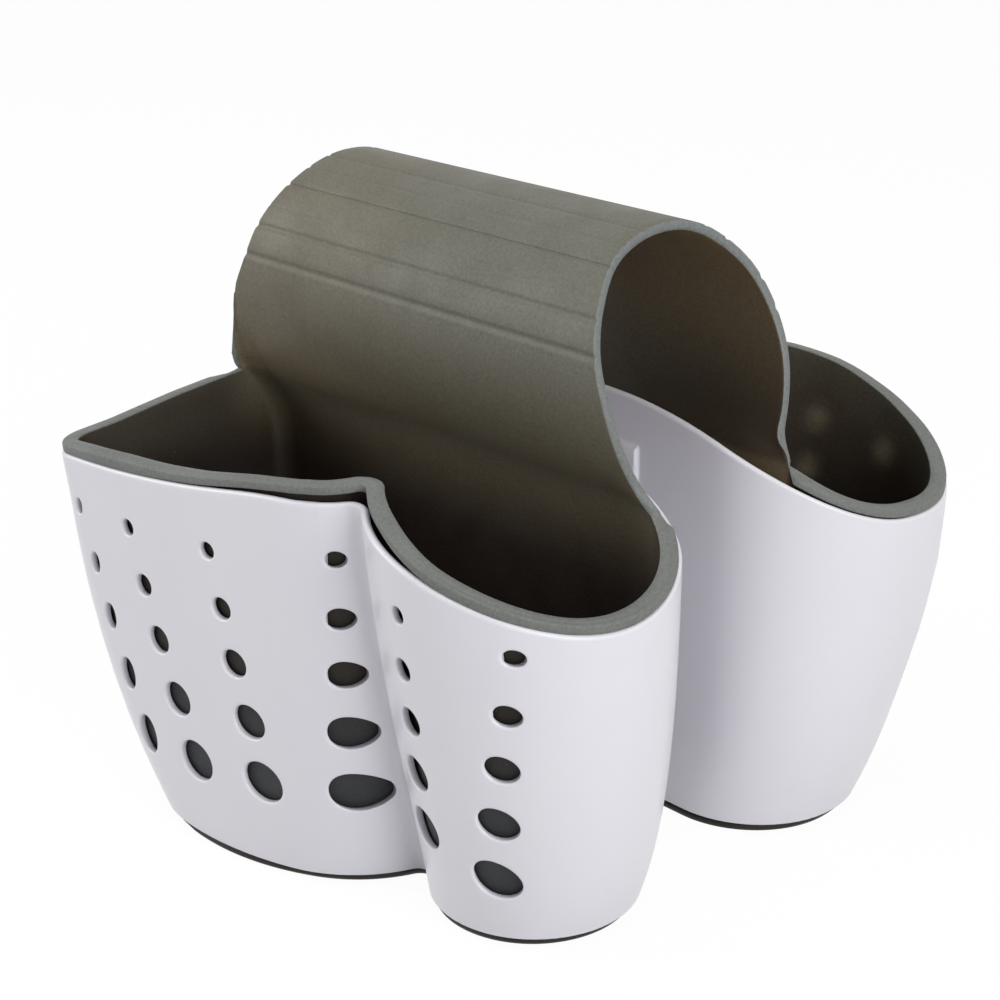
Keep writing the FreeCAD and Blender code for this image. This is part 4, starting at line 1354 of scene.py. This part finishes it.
class CADDY_OT_stage(bpy.types.Operator):
    """Sets the pale floor, the soft lamps and the camera"""

    bl_idname = "caddy.stage"
    bl_label = "Stage"

    def execute(self, context):
        scene = context.scene
        scene.view_settings.view_transform = "Standard"
        mesh = bpy.data.meshes.new("floor")
        corners = [(x * FLOOR_HALF, y * FLOOR_HALF, 0) for x, y in ((-1, -1), (1, -1), (1, 1), (-1, 1))]
        mesh.from_pydata(corners, [], [(0, 1, 2, 3)])
        floor = bpy.data.objects.new("floor", mesh)
        scene.collection.objects.link(floor)
        floor.data.materials.append(floor_material())
        scene.world = studio_world()
        for name, place, aim, power, width in LAMPS:
            lamp = bpy.data.lights.new(name, "AREA")
            lamp.energy, lamp.size, lamp.shape = power, width, "DISK"
            body = bpy.data.objects.new(name, lamp)
            body.location = place
            body.rotation_euler = (Vector(aim) - Vector(place)).to_track_quat("-Z", "Y").to_euler()
            scene.collection.objects.link(body)
        eye = bpy.data.cameras.new("camera")
        eye.lens, eye.sensor_width = CAMERA_LENS, SENSOR_WIDTH
        camera = bpy.data.objects.new("camera", eye)
        camera.location = CAMERA_PLACE
        back = Vector((math.sin(CAMERA_TURN) * math.cos(CAMERA_RISE),
                       -math.cos(CAMERA_TURN) * math.cos(CAMERA_RISE), math.sin(CAMERA_RISE)))
        camera.rotation_euler = (-back).to_track_quat("-Z", "Y").to_euler()
        scene.collection.objects.link(camera)
        scene.camera = camera
        return {"FINISHED"}


def camera_share(tree):
    """1 for what the camera, a reflection or clear material sees directly."""
    path = tree.nodes.new("ShaderNodeLightPath")
    value = path.outputs["Is Camera Ray"]
    for name in ("Is Glossy Ray", "Is Transmission Ray"):
        value = math_node(tree, "MAXIMUM", value, path.outputs[name])
    return value


def floor_material():
    """White floor that keeps the caddy's shadow."""
    material = bpy.data.materials.new("studio_floor")
    material.use_nodes = True
    tree = material.node_tree
    tree.nodes.clear()
    output = tree.nodes.new("ShaderNodeOutputMaterial")
    matt, glow = tree.nodes.new("ShaderNodeBsdfDiffuse"), tree.nodes.new("ShaderNodeEmission")
    matt.inputs["Color"].default_value = (FLOOR_GREY, FLOOR_GREY, FLOOR_GREY, 1)
    glow.inputs["Color"].default_value = (1, 1, 1, 1)
    glow.inputs["Strength"].default_value = FLOOR_GLOW
    share = math_node(tree, "MULTIPLY", camera_share(tree), FLOOR_GLOW_SHARE)
    blend = tree.nodes.new("ShaderNodeMixShader")
    tree.links.new(share, blend.inputs["Fac"])
    tree.links.new(matt.outputs["BSDF"], blend.inputs[1])
    tree.links.new(glow.outputs["Emission"], blend.inputs[2])
    tree.links.new(blend.outputs["Shader"], output.inputs["Surface"])
    return material


def studio_world():
    """White to the camera, and a soft even fill on the caddy."""
    world = bpy.data.worlds.new("studio")
    world.use_nodes = True
    tree = world.node_tree
    tree.nodes.clear()
    output = tree.nodes.new("ShaderNodeOutputWorld")
    sky = tree.nodes.new("ShaderNodeBackground")
    strength = map_range(tree, camera_share(tree), 0.0, 1.0, WORLD_FILL, 1.0)
    tree.links.new(strength, sky.inputs["Strength"])
    sky.inputs["Color"].default_value = (1, 1, 1, 1)
    tree.links.new(sky.outputs["Background"], output.inputs["Surface"])
    return world


class CADDY_PT_panel(bpy.types.Panel):
    """Lists the caddy's steps"""

    bl_label = "Caddy"
    bl_idname = "CADDY_PT_panel"
    bl_space_type = "VIEW_3D"
    bl_region_type = "UI"
    bl_category = "Caddy"

    def draw(self, context):
        for group in (context.scene.caddy_sizes, context.scene.caddy_colours):
            for name in group.__annotations__:
                self.layout.prop(group, name)
        for step in STEPS:
            self.layout.operator(step.bl_idname)


STEPS = (CADDY_OT_stage, CADDY_OT_shells, CADDY_OT_liners, CADDY_OT_crown)
CLASSES = (CaddySizes, CaddyColours, *STEPS, CADDY_PT_panel)


def register():
    for kind in CLASSES:
        bpy.utils.register_class(kind)
    bpy.types.Scene.caddy_sizes = PointerProperty(type=CaddySizes)
    bpy.types.Scene.caddy_colours = PointerProperty(type=CaddyColours)


def unregister():
    del bpy.types.Scene.caddy_colours
    del bpy.types.Scene.caddy_sizes
    for kind in reversed(CLASSES):
        bpy.utils.unregister_class(kind)


def main():
    register()
    bpy.ops.caddy.stage()
    bpy.ops.caddy.shells()
    bpy.ops.caddy.liners()
    bpy.ops.caddy.crown()


if __name__ == "__main__":
    main()
